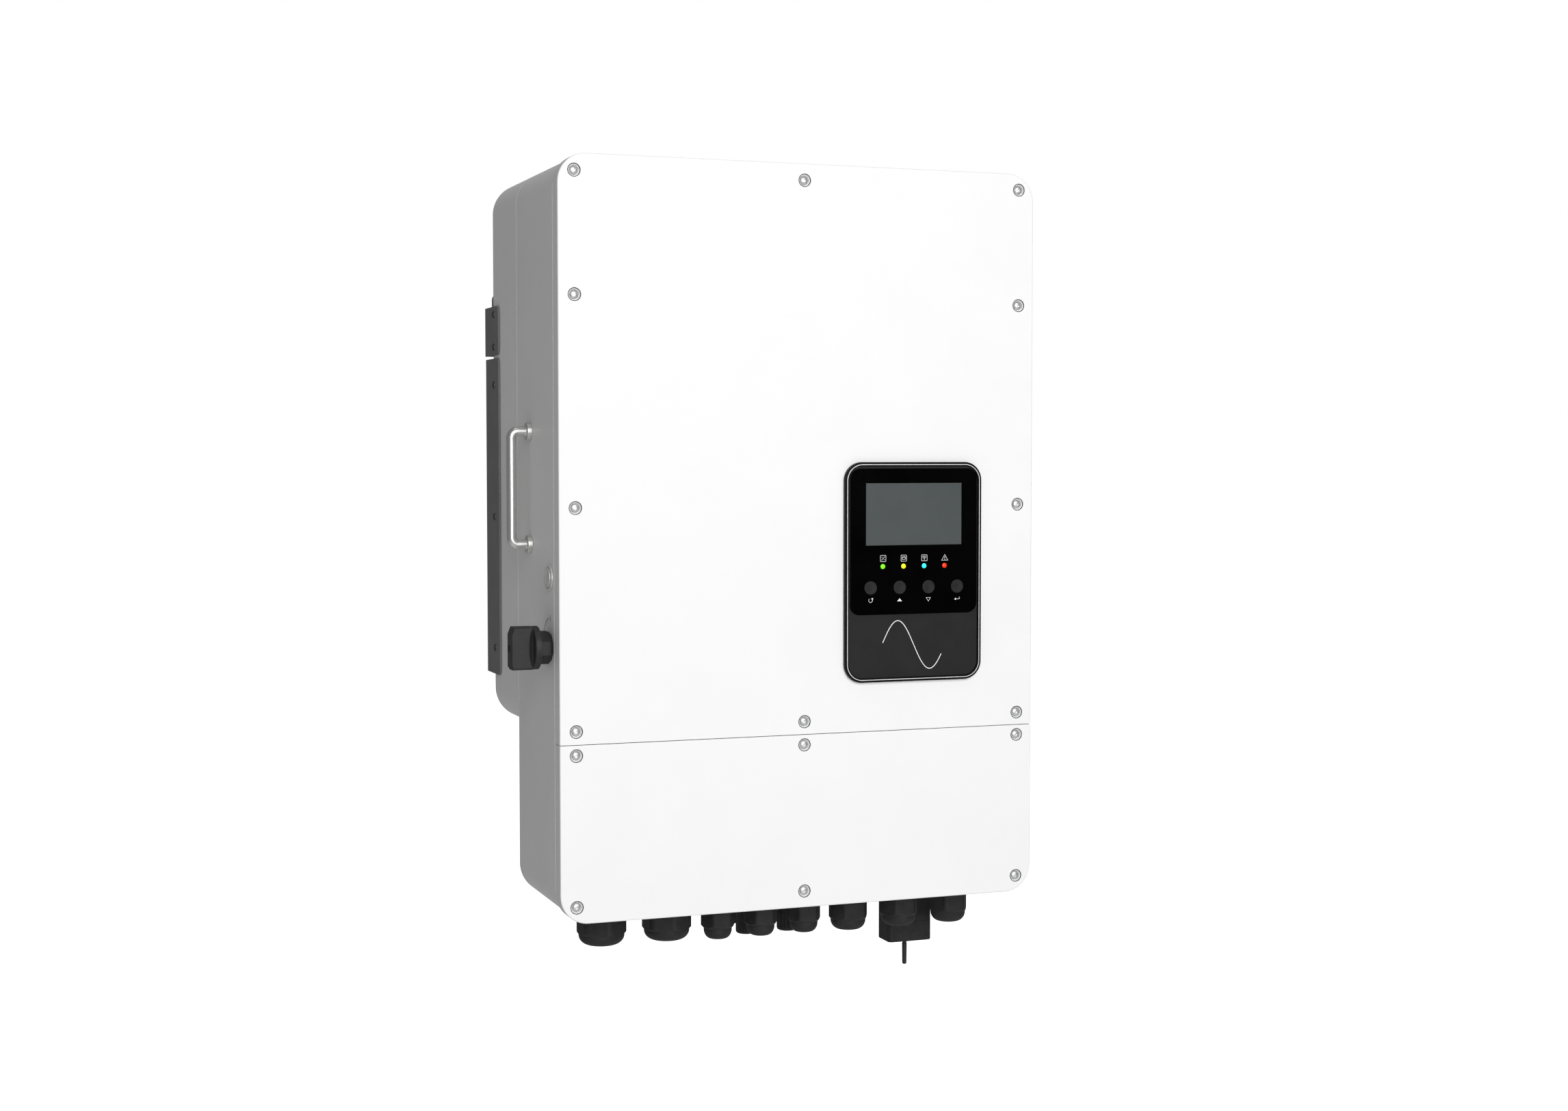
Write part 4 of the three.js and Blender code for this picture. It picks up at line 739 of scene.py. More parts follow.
hanger = {"plate": 2.5, "plateFront": -9.3, "flangeTop": 15.6, "flangeBottom": -28.2, "inset": 12,
          "plateCorner": 5, "windowHalf": 23, "windowLow": -13.9, "windowHigh": 5.9, "windowCorner": 2.5,
          "windowX": 120}


# flanges on both sides, a bridge and a taller tongue between them, and a window for each hook
def hangerPiece():
    back = hanger["plateFront"] + hanger["plate"]
    flanges = []
    sheet = strap["sheet"]
    for low, high in ((hangerLow.x, hangerLow.x + sheet), (hangerHigh.x - sheet, hangerHigh.x)):
        flanges.append(roundedBlock((low, hangerLow.y, hanger["flangeBottom"]),
                                    (high, hangerHigh.y, hanger["flangeTop"]), strap["corner"], 0, 10,
                                    lambda middle: near(middle.y, hangerLow.y)))
    bridge = roundedBlock((hangerLow.x + 0.4, hanger["plateFront"], hanger["flangeBottom"]),
                          (hangerHigh.x - 0.4, back, hanger["flangeTop"]))
    tongue = roundedBlock((hangerLow.x + hanger["inset"], hanger["plateFront"], hangerLow.z),
                          (hangerHigh.x - hanger["inset"], back, hangerHigh.z), hanger["plateCorner"], 1, 8)
    windows = [roundedBlock((x - hanger["windowHalf"], hanger["plateFront"] - 2, hanger["windowLow"]),
                            (x + hanger["windowHalf"], back + 2, hanger["windowHigh"]),
                            hanger["windowCorner"], 1, 6)
               for x in (-hanger["windowX"], hanger["windowX"])]
    return cut(join(flanges[0], flanges[1], bridge, tongue), gathered(windows), strapHoles(strapScrewZs[:2]))


bracket = {"plate": 3, "corner": 6, "edge": 0.5, "hookHalf": 20, "hookSeat": 5.6, "hookSheet": 2.5,
           "hookTop": 17.6, "bend": 3, "hookX": 120, "anchors": (-180, -60, 60, 180), "anchor": 4.5}


# a flat strip with an up-turned hook near each end and four anchor holes
def bracketPiece():
    plate = roundedBlock((bracketLow.x, -bracket["plate"], bracketLow.z), (bracketHigh.x, 0, bracketHigh.z),
                         bracket["corner"], 1, 8)
    roundWhere(plate, lambda co: near(co.y, -bracket["plate"]), bracket["edge"], 3)
    seat, sheet, front = bracket["hookSeat"], bracket["hookSheet"], bracketLow.y
    reach, top = bracket["bend"], bracket["hookTop"]
    outline = [(-bracket["plate"] + 0.5, seat), (-bracket["plate"] + 0.5, seat - sheet)]
    outline += arc(reach, -90, -180, 8, (front + reach, seat - sheet + reach))
    outline += [(front, top - 0.8), (front + 0.8, top), (front + sheet - 0.8, top),
                (front + sheet, top - 0.8)]
    outline += arc(reach - sheet, -180, -90, 4, (front + reach, seat + reach - sheet))
    hooks = [laid(outlined(outline, 2 * bracket["hookHalf"], x - bracket["hookHalf"]), (0, 0, 0), along["y"],
                  along["z"]) for x in (-bracket["hookX"], bracket["hookX"])]
    anchors = [rod(bracket["anchor"], 8, (x, -6, 0), along["y"], 32) for x in bracket["anchors"]]
    return cut(join(plate, *hooks), gathered(anchors))


piece(shroudPiece(), "shroud_channel", greyCoat, ["rear_shroud"])
piece(hangerPiece(), "hanger_plate", greyCoat, ["hanger_bracket"])
piece(bracketPiece(), "bracket_plate", greyCoat, ["wall_bracket"], "wall_bracket")

# low pan-head screws with a cross recess, five on each side flange
strapScrew = {"radius": 3.3, "height": 1.2, "recess": 2.8, "recessWidth": 0.8, "recessDepth": 0.9,
              "shank": 1.7, "length": 5}


def strapScrewPiece(side, z):
    r, h = strapScrew["radius"], strapScrew["height"]
    profile = [(0, h), (r * 0.55, h * 0.97), (r * 0.82, h * 0.78), (r * 0.97, h * 0.42), (r, 0),
               (strapScrew["shank"], 0), (strapScrew["shank"], -strapScrew["length"]),
               (0, -strapScrew["length"])]
    reach, half = strapScrew["recess"] / 2, strapScrew["recessWidth"] / 2
    outward = along["x"] * side
    place = (side * (halfWidth + fitGap + strap["sheet"]), housing["strapScrewY"], z)
    deep = h - strapScrew["recessDepth"]
    cross = [placed(roundedBlock((-reach, -half, deep), (reach, half, h + 1)), place, outward),
             placed(roundedBlock((-half, -reach, deep), (half, reach, h + 1)), place, outward)]
    return cut(turned(profile, place, outward, 32), cross[0], cross[1])


for side, word in ((-1, "left"), (1, "right")):
    for number, z in enumerate(strapScrewZs, 1):
        piece(strapScrewPiece(side, z), "strap_screw_%s_%d" % (word, number), blackenedSteel)
print("brackets made")

handle = {"rod": 4.2, "reach": 16.8, "half": 48, "bend": 5.6, "foot": 7.7, "footHeight": 3.9,
          "bendSteps": 12, "ringSides": 40}


# a round bar drawn out, bent, run down and bent back, with a turned foot at each end
def handlePiece(side):
    node = "handle_left" if side < 0 else "handle_right"
    centre = middleOf(node)
    foot, half, bend = side * (halfWidth + fitGap), handle["half"], handle["bend"]
    bar = side * (halfWidth + handle["reach"])
    bm = bmesh.new()
    facing = Matrix.Translation((foot, centre.y, centre.z + half)) @ Matrix.Rotation(pi / 2, 4, "Y")
    bmesh.ops.create_circle(bm, cap_ends=False, radius=handle["rod"], segments=handle["ringSides"],
                            matrix=facing)
    ring = bm.edges[:]
    straight = side * (handle["reach"] - fitGap - bend)
    for kind, value in (("pull", (straight, 0, 0)), ("bend", half - bend),
                        ("pull", (0, 0, 2 * (bend - half))), ("bend", bend - half),
                        ("pull", (-straight, 0, 0))):
        if kind == "pull":
            grown = bmesh.ops.extrude_edge_only(bm, edges=ring)["geom"]
            bmesh.ops.translate(bm, vec=value, verts=vertsOf(grown))
        else:
            pivot = (bar - side * bend, centre.y, centre.z + value)
            grown = bmesh.ops.spin(bm, geom=ring, cent=pivot, axis=(0, 1, 0), angle=side * pi / 2,
                                   steps=handle["bendSteps"])["geom_last"]
        ring = [part for part in grown if isinstance(part, bmesh.types.BMEdge)]
    bmesh.ops.remove_doubles(bm, verts=bm.verts, dist=0.0005)
    bmesh.ops.holes_fill(bm, edges=[e for e in bm.edges if e.is_boundary])
    bmesh.ops.recalc_face_normals(bm, faces=bm.faces)
    r, h, bore = handle["foot"], handle["footHeight"], handle["rod"]
    feet = [turned([(0, 0), (r, 0), (r, h - 0.8), (r - 0.25, h - 0.25), (r - 0.8, h), (bore + 0.9, h),
                    (bore + 0.3, h + 0.25), (bore + 0.05, h + 0.9), (0, h + 0.9)],
                   (foot, centre.y, centre.z + z), along["x"] * side, 40) for z in (-half, half)]
    return piece(join(bm, *feet), "carrying_" + node, satinStainless, [node])


for side in (-1, 1):
    handlePiece(side)
print("handles made")

# the power button: a ring with four notches on its face, and a cap with a shallow groove
button = {"bezel": 11, "cap": 8, "clearance": 0.3, "shank": 9.2, "chamfer": 0.7, "notch": 0.55,
          "notchDepth": 1.2}
ringLow, ringHigh = nodeBox("power_button_bezel")
capLow, capHigh = nodeBox("power_button_cap")


def buttonRingPiece():
    place = (ringHigh.x, (ringLow.y + ringHigh.y) / 2, (ringLow.z + ringHigh.z) / 2)
    length = ringHigh.x - ringLow.x
    face = ringHigh.x + halfWidth + fitGap
    r, bore, chamfer = button["bezel"], button["cap"] + button["clearance"], button["chamfer"]
    ring = turned([(0, 0), (button["shank"], 0), (button["shank"], face), (r, face), (r, length - chamfer),
                   (r - 0.3, length - 0.3), (r - chamfer, length), (bore + 0.9, length), (bore, length - 0.9),
                   (bore, 2), (0, 2)], place, -along["x"], 72)
    half = button["notch"]
    notches = [placed(roundedBlock((bore + 0.6, -half, length - button["notchDepth"]),
                                   (r - 0.9, half, length + 1)), place, -along["x"], turn * pi / 2)
               for turn in range(4)]
    return cut(ring, gathered(notches))


def buttonCapPiece():
    place = (capHigh.x, (capLow.y + capHigh.y) / 2, (capLow.z + capHigh.z) / 2)
    length = capHigh.x - capLow.x
    r = button["cap"]
    return turned([(0, 0), (r, 0), (r, length - 0.7), (r - 0.2, length - 0.2), (r - 0.7, length),
                   (r - 1.9, length), (r - 2.2, length - 0.35), (r - 2.6, length - 0.4),
                   (r - 2.9, length - 0.15), (r * 0.4, length - 0.3), (0, length - 0.35)],
                  place, -along["x"], 64)


piece(buttonRingPiece(), "button_ring", turnedStainless, ["power_button_bezel"])
piece(buttonCapPiece(), "button_cap", capPlastic, ["power_button_cap"], "power_button_cap")

# the battery isolator: an eight-sided collar, a block inside the wall, and a disc with a deep grip
isolator = {"flats": 26.8, "collar": 10.3, "chamfer": 2.8, "shank": 9, "block": 38, "blockHeight": 46,
            "blockInside": 2.8, "disc": 18, "discDepth": 5.6, "gripHalf": 6.3, "gripReach": 35,
            "topCorner": (2.4, 6.2), "bottomCorner": (1.8, 2.8), "edge": 1.6, "scoop": (2.9, 2.6, 17.0),
            "scoopProud": 0.9, "hole": 3.1, "holeDepth": 4}
collarLow = nodeBox("dc_switch_base")[0]
knobLow, knobHigh = nodeBox("dc_switch_knob")
knobMiddle = (knobLow + knobHigh) / 2


def isolatorBasePiece():
    place = (-halfWidth - fitGap, knobMiddle.y, knobMiddle.z)
    collar = prism(8, isolator["flats"], 0, isolator["collar"])
    roundWhere(collar, lambda co: near(co.z, 0), isolator["chamfer"], 1)
    roundWhere(collar, lambda co: near(co.z, isolator["collar"]), 0.5, 2)
    collar = placed(collar, place, -along["x"])
    shank = rod(isolator["shank"], isolator["blockInside"] + 1.4, (-halfWidth - 0.8, place[1], place[2]),
                along["x"], 32)
    inside = -halfWidth + isolator["blockInside"]
    block = roundedBlock((inside, collarLow.y, knobMiddle.z - isolator["blockHeight"] / 2),
                         (inside + isolator["block"], collarLow.y + isolator["block"],
                          knobMiddle.z + isolator["blockHeight"] / 2), 1.5, 0, 4)
    return join(collar, shank, block)


def isolatorKnobPiece():
    y, z = knobMiddle.y, knobMiddle.z
    back = knobHigh.x
    disc, depth = isolator["disc"], isolator["discDepth"]
    base = turned([(0, 0), (disc - 0.8, 0), (disc - 0.2, 0.25), (disc, 0.8), (disc, depth - 1.6),
                   (disc - 0.45, depth - 0.5), (disc - 1.5, depth), (0, depth)],
                  (back, y, z), -along["x"], 72)
    end, half = -halfWidth - isolator["gripReach"], disc - 0.15
    topIn, topDown = isolator["topCorner"]
    bottomIn, bottomUp = isolator["bottomCorner"]
    outline = [(back - 0.5, z - half + 3), (back - 0.5, z + half - 3), (back - depth, z + half),
               (end + topIn, z + half), (end, z + half - topDown), (end, z - half + bottomUp),
               (end + bottomIn, z - half), (back - depth, z - half)]
    grip = laid(outlined(outline, 2 * isolator["gripHalf"], -isolator["gripHalf"]), (0, y, 0), along["x"],
                along["z"])
    rims = [edge for edge in grip.edges if near(edge.verts[0].co.y, edge.verts[1].co.y)
            and max(vert.co.x for vert in edge.verts) < back - depth + 0.01]
    bevelled(grip, rims, isolator["edge"], 1)
    scoops = []
    for side in (-1, 1):
        scoop = bmesh.new()
        bmesh.ops.create_uvsphere(scoop, u_segments=48, v_segments=24, radius=1)
        bmesh.ops.scale(scoop, vec=isolator["scoop"], verts=scoop.verts)
        off = side * (isolator["gripHalf"] + isolator["scoopProud"])
        bmesh.ops.translate(scoop, vec=(back - depth, y + off, z), verts=scoop.verts)
        scoops.append(scoop)
    hole, deep = isolator["hole"], isolator["holeDepth"]
    eye = turned([(0, -1), (hole + 0.3, -1), (hole + 0.3, 0), (hole, 0.3), (hole, deep), (0, deep)],
                 (end, y, z), along["x"], 40)
    return cut(join(base, grip), *scoops, eye)


piece(isolatorBasePiece(), "isolator_collar", blackPolyamide, ["dc_switch_base"])
piece(isolatorKnobPiece(), "isolator_knob", knobPolyamide, ["dc_switch_knob"],
      "dc_switch_knob")

# generic bar and ring marks for on and off, with a quarter arc between them, printed on the left wall
markInk = {"proud": 0.06, "width": 0.9, "arcRadius": 24, "symbol": 2.6, "symbolRadius": 24}


def sideMark(bm, y, z, name):
    return piece(laid(bm, (-halfWidth - 0.01, y, z), -along["y"], along["z"]), name, darkInk)


sideMark(stroke([(0, -markInk["symbol"]), (0, markInk["symbol"])], markInk["width"], markInk["proud"]),
         knobMiddle.y, knobMiddle.z + markInk["symbolRadius"], "mark_on")
sideMark(stroke(arc(markInk["symbol"], 0, 345, 24), markInk["width"], markInk["proud"], True),
         knobMiddle.y + markInk["symbolRadius"], knobMiddle.z, "mark_off")
sideMark(stroke(arc(markInk["arcRadius"], 103, 167, 24), markInk["width"] * 0.7, markInk["proud"]),
         knobMiddle.y, knobMiddle.z, "mark_arc")
print("controls made")

# display module: frame with a silver line round it, face plate, glass, keys and lamps
glassLow, glassHigh = nodeBox("display_glass")
plateLow, plateHigh = nodeBox("display_face_plate")
panelLow, panelHigh = nodeBox("lcd_module")
keyNodes = ["key_%d" % number for number in range(1, 5)]
lampNodes = ["status_lamp_%d" % number for number in range(1, 5)]
keySpots = [middleOf(node) for node in keyNodes]
lampSpots = [middleOf(node) for node in lampNodes]
frontCut = {"keyRadius": 6.1, "lampRadius": 2.4, "windowMargin": fitGap, "glassRadius": 9, "glassEdge": 0.25}


def bezelPiece():
    floorY = frontY - fitGap - display["floor"]
    frame = displayBlock(0, bezelLow.y, frontY - fitGap, 24)
    roundWhere(frame, lambda co: near(co.y, bezelLow.y), display["rim"], 5)
    frame = cut(frame, displayBlock(display["frame"], bezelLow.y - 1, floorY),
                displayBlock(display["lip"], floorY - 1, frontY + 1))
    tub = cut(displayBlock(display["tubInset"], floorY + 0.5, bezelHigh.y),
              displayBlock(display["lip"], floorY, bezelHigh.y + 1))
    return join(frame, tub)


def openings(y0, y1):
    margin = frontCut["windowMargin"]
    tools = [roundedBlock((panelLow.x - margin, y0, panelLow.z - margin),
                          (panelHigh.x + margin, y1, panelHigh.z + margin))]
    for spots, radius, steps in ((keySpots, frontCut["keyRadius"], 48),
                                 (lampSpots, frontCut["lampRadius"], 28)):
        tools += [rod(radius, y1 - y0, (spot.x, y0, spot.z), along["y"], steps) for spot in spots]
    return gathered(tools)


def glassPiece():
    glass = roundedBlock(glassLow, glassHigh, frontCut["glassRadius"], 1, 16)
    roundWhere(glass, lambda co: near(co.y, glassLow.y), frontCut["glassEdge"], 2)
    return cut(glass, openings(glassLow.y - 1, glassHigh.y + 1))


def facePlatePiece():
    blank = displayBlock(plateLow.x - bezelLow.x, plateLow.y, plateHigh.y, 24)
    return cut(blank, openings(plateLow.y - 1, plateHigh.y + 1))


def inlayPiece():
    y0, y1 = bezelLow.y - display["inlayProud"], bezelLow.y + 0.2
    return cut(displayBlock(display["inlayOuter"], y0, y1, 24),
               displayBlock(display["inlayInner"], y0 - 1, y1 + 1, 24))


piece(bezelPiece(), "display_frame", glossAbs, ["display_bezel"])
piece(inlayPiece(), "display_inlay", silverPaint)
piece(facePlatePiece(), "display_plate", satinAbs, ["display_face_plate"])
piece(glassPiece(), "display_window", printedGlass, ["display_glass"])

# dished key caps on stems, and domed lamp lenses
key = {"radius": 5.8, "edge": 0.5, "dish": 0.25, "skirt": 3.2, "stem": 2.5}
lamp = {"radius": 2.1, "dome": 0.75, "slots": ("lamp_green", "lamp_yellow", "lamp_cyan", "lamp_red")}
for node, spot in zip(keyNodes, keySpots):
    low, high = nodeBox(node)
    length, r = high.y - low.y, key["radius"]
    top = turned([(0, 0), (key["stem"], 0), (key["stem"], length - key["skirt"]), (r, length - key["skirt"]),
                  (r, length - key["edge"]), (r - 0.15, length - 0.15), (r - key["edge"], length),
                  (r - 1.1, length), (r - 2.6, length - key["dish"] * 0.7), (0, length - key["dish"])],
                 (spot.x, high.y, spot.z), -along["y"], 56)
    piece(top, "button_" + node, keyAbs, [node], node)
for number, (node, spot) in enumerate(zip(lampNodes, lampSpots)):
    low, high = nodeBox(node)
    length, r, rise = high.y - low.y, lamp["radius"], lamp["dome"]
    dome = [(r * cos(radians(a)), length - rise + rise * sin(radians(a))) for a in range(0, 90, 15)]
    lens = turned([(0, 0), (r, 0), *dome, (0, length)], (spot.x, high.y, spot.z), -along["y"], 32)
    piece(lens, "lens_%d" % (number + 1), lampLenses[number], [node])
print("display made")

# printed symbols: generic pictures of mains, battery, radio link and fault; return, up, down and enter
ink = {"proud": 0.05, "line": 0.3, "half": 2.6, "lampIconRise": 6.9, "keyIconDrop": 10.7}


def printedMark(parts, name, x, y, z):
    bm = laid(gathered(parts), (x, y, z), along["x"], along["z"])
    return piece(bm, name, whiteInk, crease=20)


def squareWithCorners(half, radius):
    points = []
    for corner, (sx, sz) in enumerate(((1, 1), (-1, 1), (-1, -1), (1, -1))):
        points += arc(radius, corner * 90, corner * 90 + 90, 4, (sx * (half - radius), sz * (half - radius)))
    return points


def iconBox():
    return stroke(squareWithCorners(ink["half"], 0.5), ink["line"], ink["proud"], True)


def lampIcons():
    line, proud = ink["line"], ink["proud"]
    mains = [iconBox(), stroke([(-1.5, -1.5), (1.5, 1.5)], line, proud),
             stroke([(-1.7, 1.1), (-0.5, 1.1)], line * 0.8, proud),
             stroke([(0.5, -1.1), (1.7, -1.1)], line * 0.8, proud)]
    cell = [iconBox(), stroke([(-1.5, -1), (-1.5, 0.8), (1.5, 0.8), (1.5, -1)], line, proud, True),
            outlined([(-1.1, 1.0), (-0.4, 1.0), (-0.4, 1.5), (-1.1, 1.5)], proud),
            outlined([(0.4, 1.0), (1.1, 1.0), (1.1, 1.5), (0.4, 1.5)], proud)]
    link = [stroke(arc(radius, 45, 135, 10, (0, -1.3)), line, proud) for radius in (0.9, 1.8, 2.7)]
    link.append(iconBox())
    link.append(outlined(arc(0.33, 0, 345, 12, (0, -1.3)), proud))
    fault = [stroke([(-2.9, -2.4), (0, 2.6), (2.9, -2.4)], line, proud, True),
             stroke([(0, 1.0), (0, -0.9)], line, proud), outlined(arc(0.27, 0, 330, 11, (0, -1.55)), proud)]
    return [mains, cell, link, fault]


def keyIcons():
    line, proud = ink["line"], ink["proud"]
    back = [stroke(arc(1.7, 130, 400, 26), line * 1.2, proud),
            outlined([(0.35, 1.5), (2.35, 2.3), (2.1, 0.15)], proud)]
    up = [outlined([(-2.3, -1.2), (2.3, -1.2), (0, 1.3)], proud)]
    down = [stroke([(-2.1, 1.3), (0, -1.7), (2.1, 1.3)], line, proud, True)]
    enter = [stroke([(2.3, 1.5), (2.3, -0.4), (-1.2, -0.4)], line * 1.2, proud),
             outlined([(-2.4, -0.4), (-0.9, 0.7), (-0.9, -1.5)], proud)]
    return [back, up, down, enter]


glassFace = glassLow.y + 0.005
for number, (parts, spot) in enumerate(zip(lampIcons(), lampSpots), 1):
    printedMark(parts, "lamp_symbol_%d" % number, spot.x, glassFace, spot.z + ink["lampIconRise"])
for number, (parts, spot) in enumerate(zip(keyIcons(), keySpots), 1):
    printedMark(parts, "key_symbol_%d" % number, spot.x, glassFace, spot.z - ink["keyIconDrop"])

# one and nearly a second swing of a wave, printed on the plate below the glass
wave = {"left": 70.6, "right": 125.6, "middleZ": -281.45, "swing": 21.05, "crest": 84.6, "length": 60,
        "line": 0.7, "steps": 90}
curve = []
for i in range(wave["steps"] + 1):
    x = wave["left"] + (wave["right"] - wave["left"]) * i / wave["steps"]
    curve.append((x, wave["middleZ"] + wave["swing"] * cos(tau * (x - wave["crest"]) / wave["length"])))
printedMark([stroke(curve, wave["line"], ink["proud"])], "wave_symbol", 0, plateLow.y + 0.005, 0)
print("printed symbols made")

# what every gland has: threaded body with a lock nut inside the wall, cap nut with a domed nose, blank seal
glandShape = {"flange": 4, "seat": fitGap, "lockNut": 5, "pitch": 1.5, "threadReach": 0.6, "dome": 9.2,
              "noseStep": 1, "mouthShare": 0.52, "mouthRim": 0.6, "mouthDepth": 2.2, "edge": 0.5, "seal": 0.8}


def glandBodyPiece(size, place):
    flats, r, pitch = size["flats"], size["thread"], glandShape["pitch"]
    corner = flats / 2 / cos(pi / 6)
    top = -glandShape["seat"]
    bottom = top - glandShape["flange"]
    wallTop = housing["wall"] + glandShape["seat"]
    hexagon = prism(6, flats, bottom, top, size["turn"], size["corner"], 6)
    blank = turned([(0, bottom), (corner - 1.0, bottom), (corner - 0.1, bottom + 0.6),
                    (corner - 0.1, top - 0.6), (corner - 1.0, top), (0, top)], steps=72)
    z = -size["nut"] * glandShape["threadReach"]
    thread = [(0, z)]
    while z < wallTop + 0.4:
        thread += [(r - 0.75, z), (r, z + pitch / 2)]
        z += pitch
    thread += [(r - 0.75, wallTop + 0.5), (0, wallTop + 0.5)]
    lock = prism(6, flats, wallTop, wallTop + glandShape["lockNut"], 0, 1.2, 3)
    return placed(join(common(hexagon, blank), turned(thread, steps=48), lock), place)


def glandNutPiece(size, place):
    flats, dome, end = size["flats"], size["dome"], -size["nut"]
    seat, edge, step = glandShape["seat"], glandShape["edge"], glandShape["noseStep"]
    top, nose = -2 * seat - glandShape["flange"], end - glandShape["dome"]
    corner = flats / 2 / cos(pi / 6)
    slope, mouth = corner - dome, dome * glandShape["mouthShare"]
    blank = turned([(0, top), (corner - 1.2, top), (corner, top - 0.9), (corner, end + slope + 0.5),
                    (corner - 0.25, end + slope), (dome + 0.3, end + 0.25), (dome - 0.1, end), (0, end)],
                   steps=96)
    hexagon = prism(6, flats, end - 2, top + 2, size["turn"], size["corner"], 8)
    profile = [(0, end + 1), (dome, end + 1), (dome, end - step)]
    for k in range(1, 11):
        angle = pi / 2 * k / 10
        profile.append((mouth + (dome - mouth) * cos(angle),
                        end - step - (glandShape["dome"] - step) * sin(angle)))
    profile.append((0, nose))
    hollow, deep = mouth - glandShape["mouthRim"], nose + glandShape["mouthDepth"]
    opening = turned([(0, nose - 1), (hollow + edge, nose - 1), (hollow + edge, nose), (hollow, nose + edge),
                      (hollow, deep), (0, deep)], steps=64)
    threadEnd = -size["nut"] * glandShape["threadReach"] - seat
    bore = rod(size["thread"] + fitGap, top + 1 - threadEnd, (0, 0, threadEnd), along["z"], 48)
    return placed(cut(join(common(blank, hexagon), turned(profile, steps=96)), opening, bore), place)


def glandSealPiece(size, place):
    nose = -size["nut"] - glandShape["dome"]
    r = size["dome"] * glandShape["mouthShare"] - glandShape["mouthRim"] - 0.02
    low, high = nose + glandShape["seal"], nose + glandShape["mouthDepth"] + 0.3
    return turned([(0, low + 0.9), (r * 0.35, low + 0.9), (r * 0.45, low + 0.2), (r * 0.75, low),
                   (r - 0.1, low + 0.35), (r - 0.02, high), (0, high)], place)


for name, node in zip(glandNames, glandNodes):
    size, centre = glandSizeOf(node), middleOf(node)
    place = (centre.x, centre.y, bodyLow.z)
    piece(glandBodyPiece(size, place), "gland_body_" + name, blackPolyamide, [node])
    piece(glandNutPiece(size, place), "gland_cap_" + name, blackPolyamide,
          ["gland_nut_" + name])
    piece(glandSealPiece(size, place), "gland_seal_" + name, nitrileRubber)
print("glands made")

# solar connectors: a flanged socket on the wall with a sealing cap pushed on
solar = {"barrel": 9.4, "shank": 7.4, "flange": 11.5, "flangeHeight": 6, "inside": 10.5, "seat": fitGap,
         "taper": 1.2, "grip": 14, "groove": 0.9, "capShare": 0.55}


def solarPiece(node):
    low, high = nodeBox(node)
    length, r, flange, seat = bodyLow.z - low.z, solar["barrel"], solar["flange"], -solar["seat"]
    base = seat - solar["flangeHeight"]
    under = base - solar["taper"]
    capTop = base - (length + base) * (1 - solar["capShare"])
    body = turned([(0, solar["inside"]), (solar["shank"], solar["inside"]), (solar["shank"], seat),
                   (flange - 0.5, seat), (flange, seat - 0.5), (flange, base + 1.0), (flange - 1.0, base),
                   (r - 0.2, under), (r - 0.9, under - 1.2), (r - 0.9, capTop + 0.8), (r - 0.1, capTop),
                   (r, capTop - 0.6), (r, -length + 2.0), (r - 0.5, -length + 0.7), (r - 1.6, -length),
                   (r * 0.45, -length), (r * 0.4, -length + 0.6), (0, -length + 0.6)], steps=72)
    grooves = gripGrooves(solar["grip"], flange, solar["groove"], base - 0.5, -0.8)
    grooves += gripGrooves(solar["grip"], r, solar["groove"], -length + 3.2, capTop - 2.2)
    return placed(cut(body, gathered(grooves)), ((low.x + high.x) / 2, (low.y + high.y) / 2, bodyLow.z))


for node in solarNodes:
    piece(solarPiece(node), "plug_" + node, blackPolyamide, [node])

# data logger: a two-part case with a seam, hung on a ribbed coupling nut, and a short aerial
logger = {"corner": 4, "edge": 1.0, "seam": 0.45, "seamDeep": 0.4, "seamShare": 0.36, "neck": 10, "grip": 20,
          "groove": 0.8, "shank": 8, "inside": 8.5, "seat": fitGap, "neckLength": 9}
boxLow, boxHigh = nodeBox("datalogger_housing")
aerialLow, aerialHigh = nodeBox("datalogger_antenna")


def loggerPiece():
    middleX, middleY = (boxLow.x + boxHigh.x) / 2, (boxLow.y + boxHigh.y) / 2
    neck, shank, deep, seat = logger["neck"], logger["shank"], logger["seamDeep"], bodyLow.z - logger["seat"]
    shellTop, inside = seat - logger["neckLength"], bodyLow.z + logger["inside"]
    shell = roundedBlock(boxLow, (boxHigh.x, boxHigh.y, shellTop), logger["corner"], 2, 8)
    for level in (boxLow.z, shellTop):
        roundWhere(shell, lambda co: near(co.z, level), logger["edge"], 4)
    seamZ = boxLow.z + (shellTop - boxLow.z) * logger["seamShare"]
    around = roundedBlock((boxLow.x - 2, boxLow.y - 2, seamZ),
                          (boxHigh.x + 2, boxHigh.y + 2, seamZ + logger["seam"]))
    core = roundedBlock((boxLow.x + deep, boxLow.y + deep, seamZ - 1),
                        (boxHigh.x - deep, boxHigh.y - deep, seamZ + 2), logger["corner"] - deep, 2, 8)
    stem = turned([(0, shellTop - 0.5), (neck - 0.6, shellTop - 0.5), (neck - 0.6, shellTop + 0.6),
                   (neck, shellTop + 1.2), (neck, seat - 0.6), (neck - 0.6, seat), (shank, seat),
                   (shank, inside), (0, inside)], (middleX, middleY, 0), steps=72)
    grooves = gripGrooves(logger["grip"], neck, logger["groove"], shellTop + 1.8, seat - 1.4,
                          (middleX, middleY), 10)
    return join(cut(shell, cut(around, core)), cut(stem, gathered(grooves)))


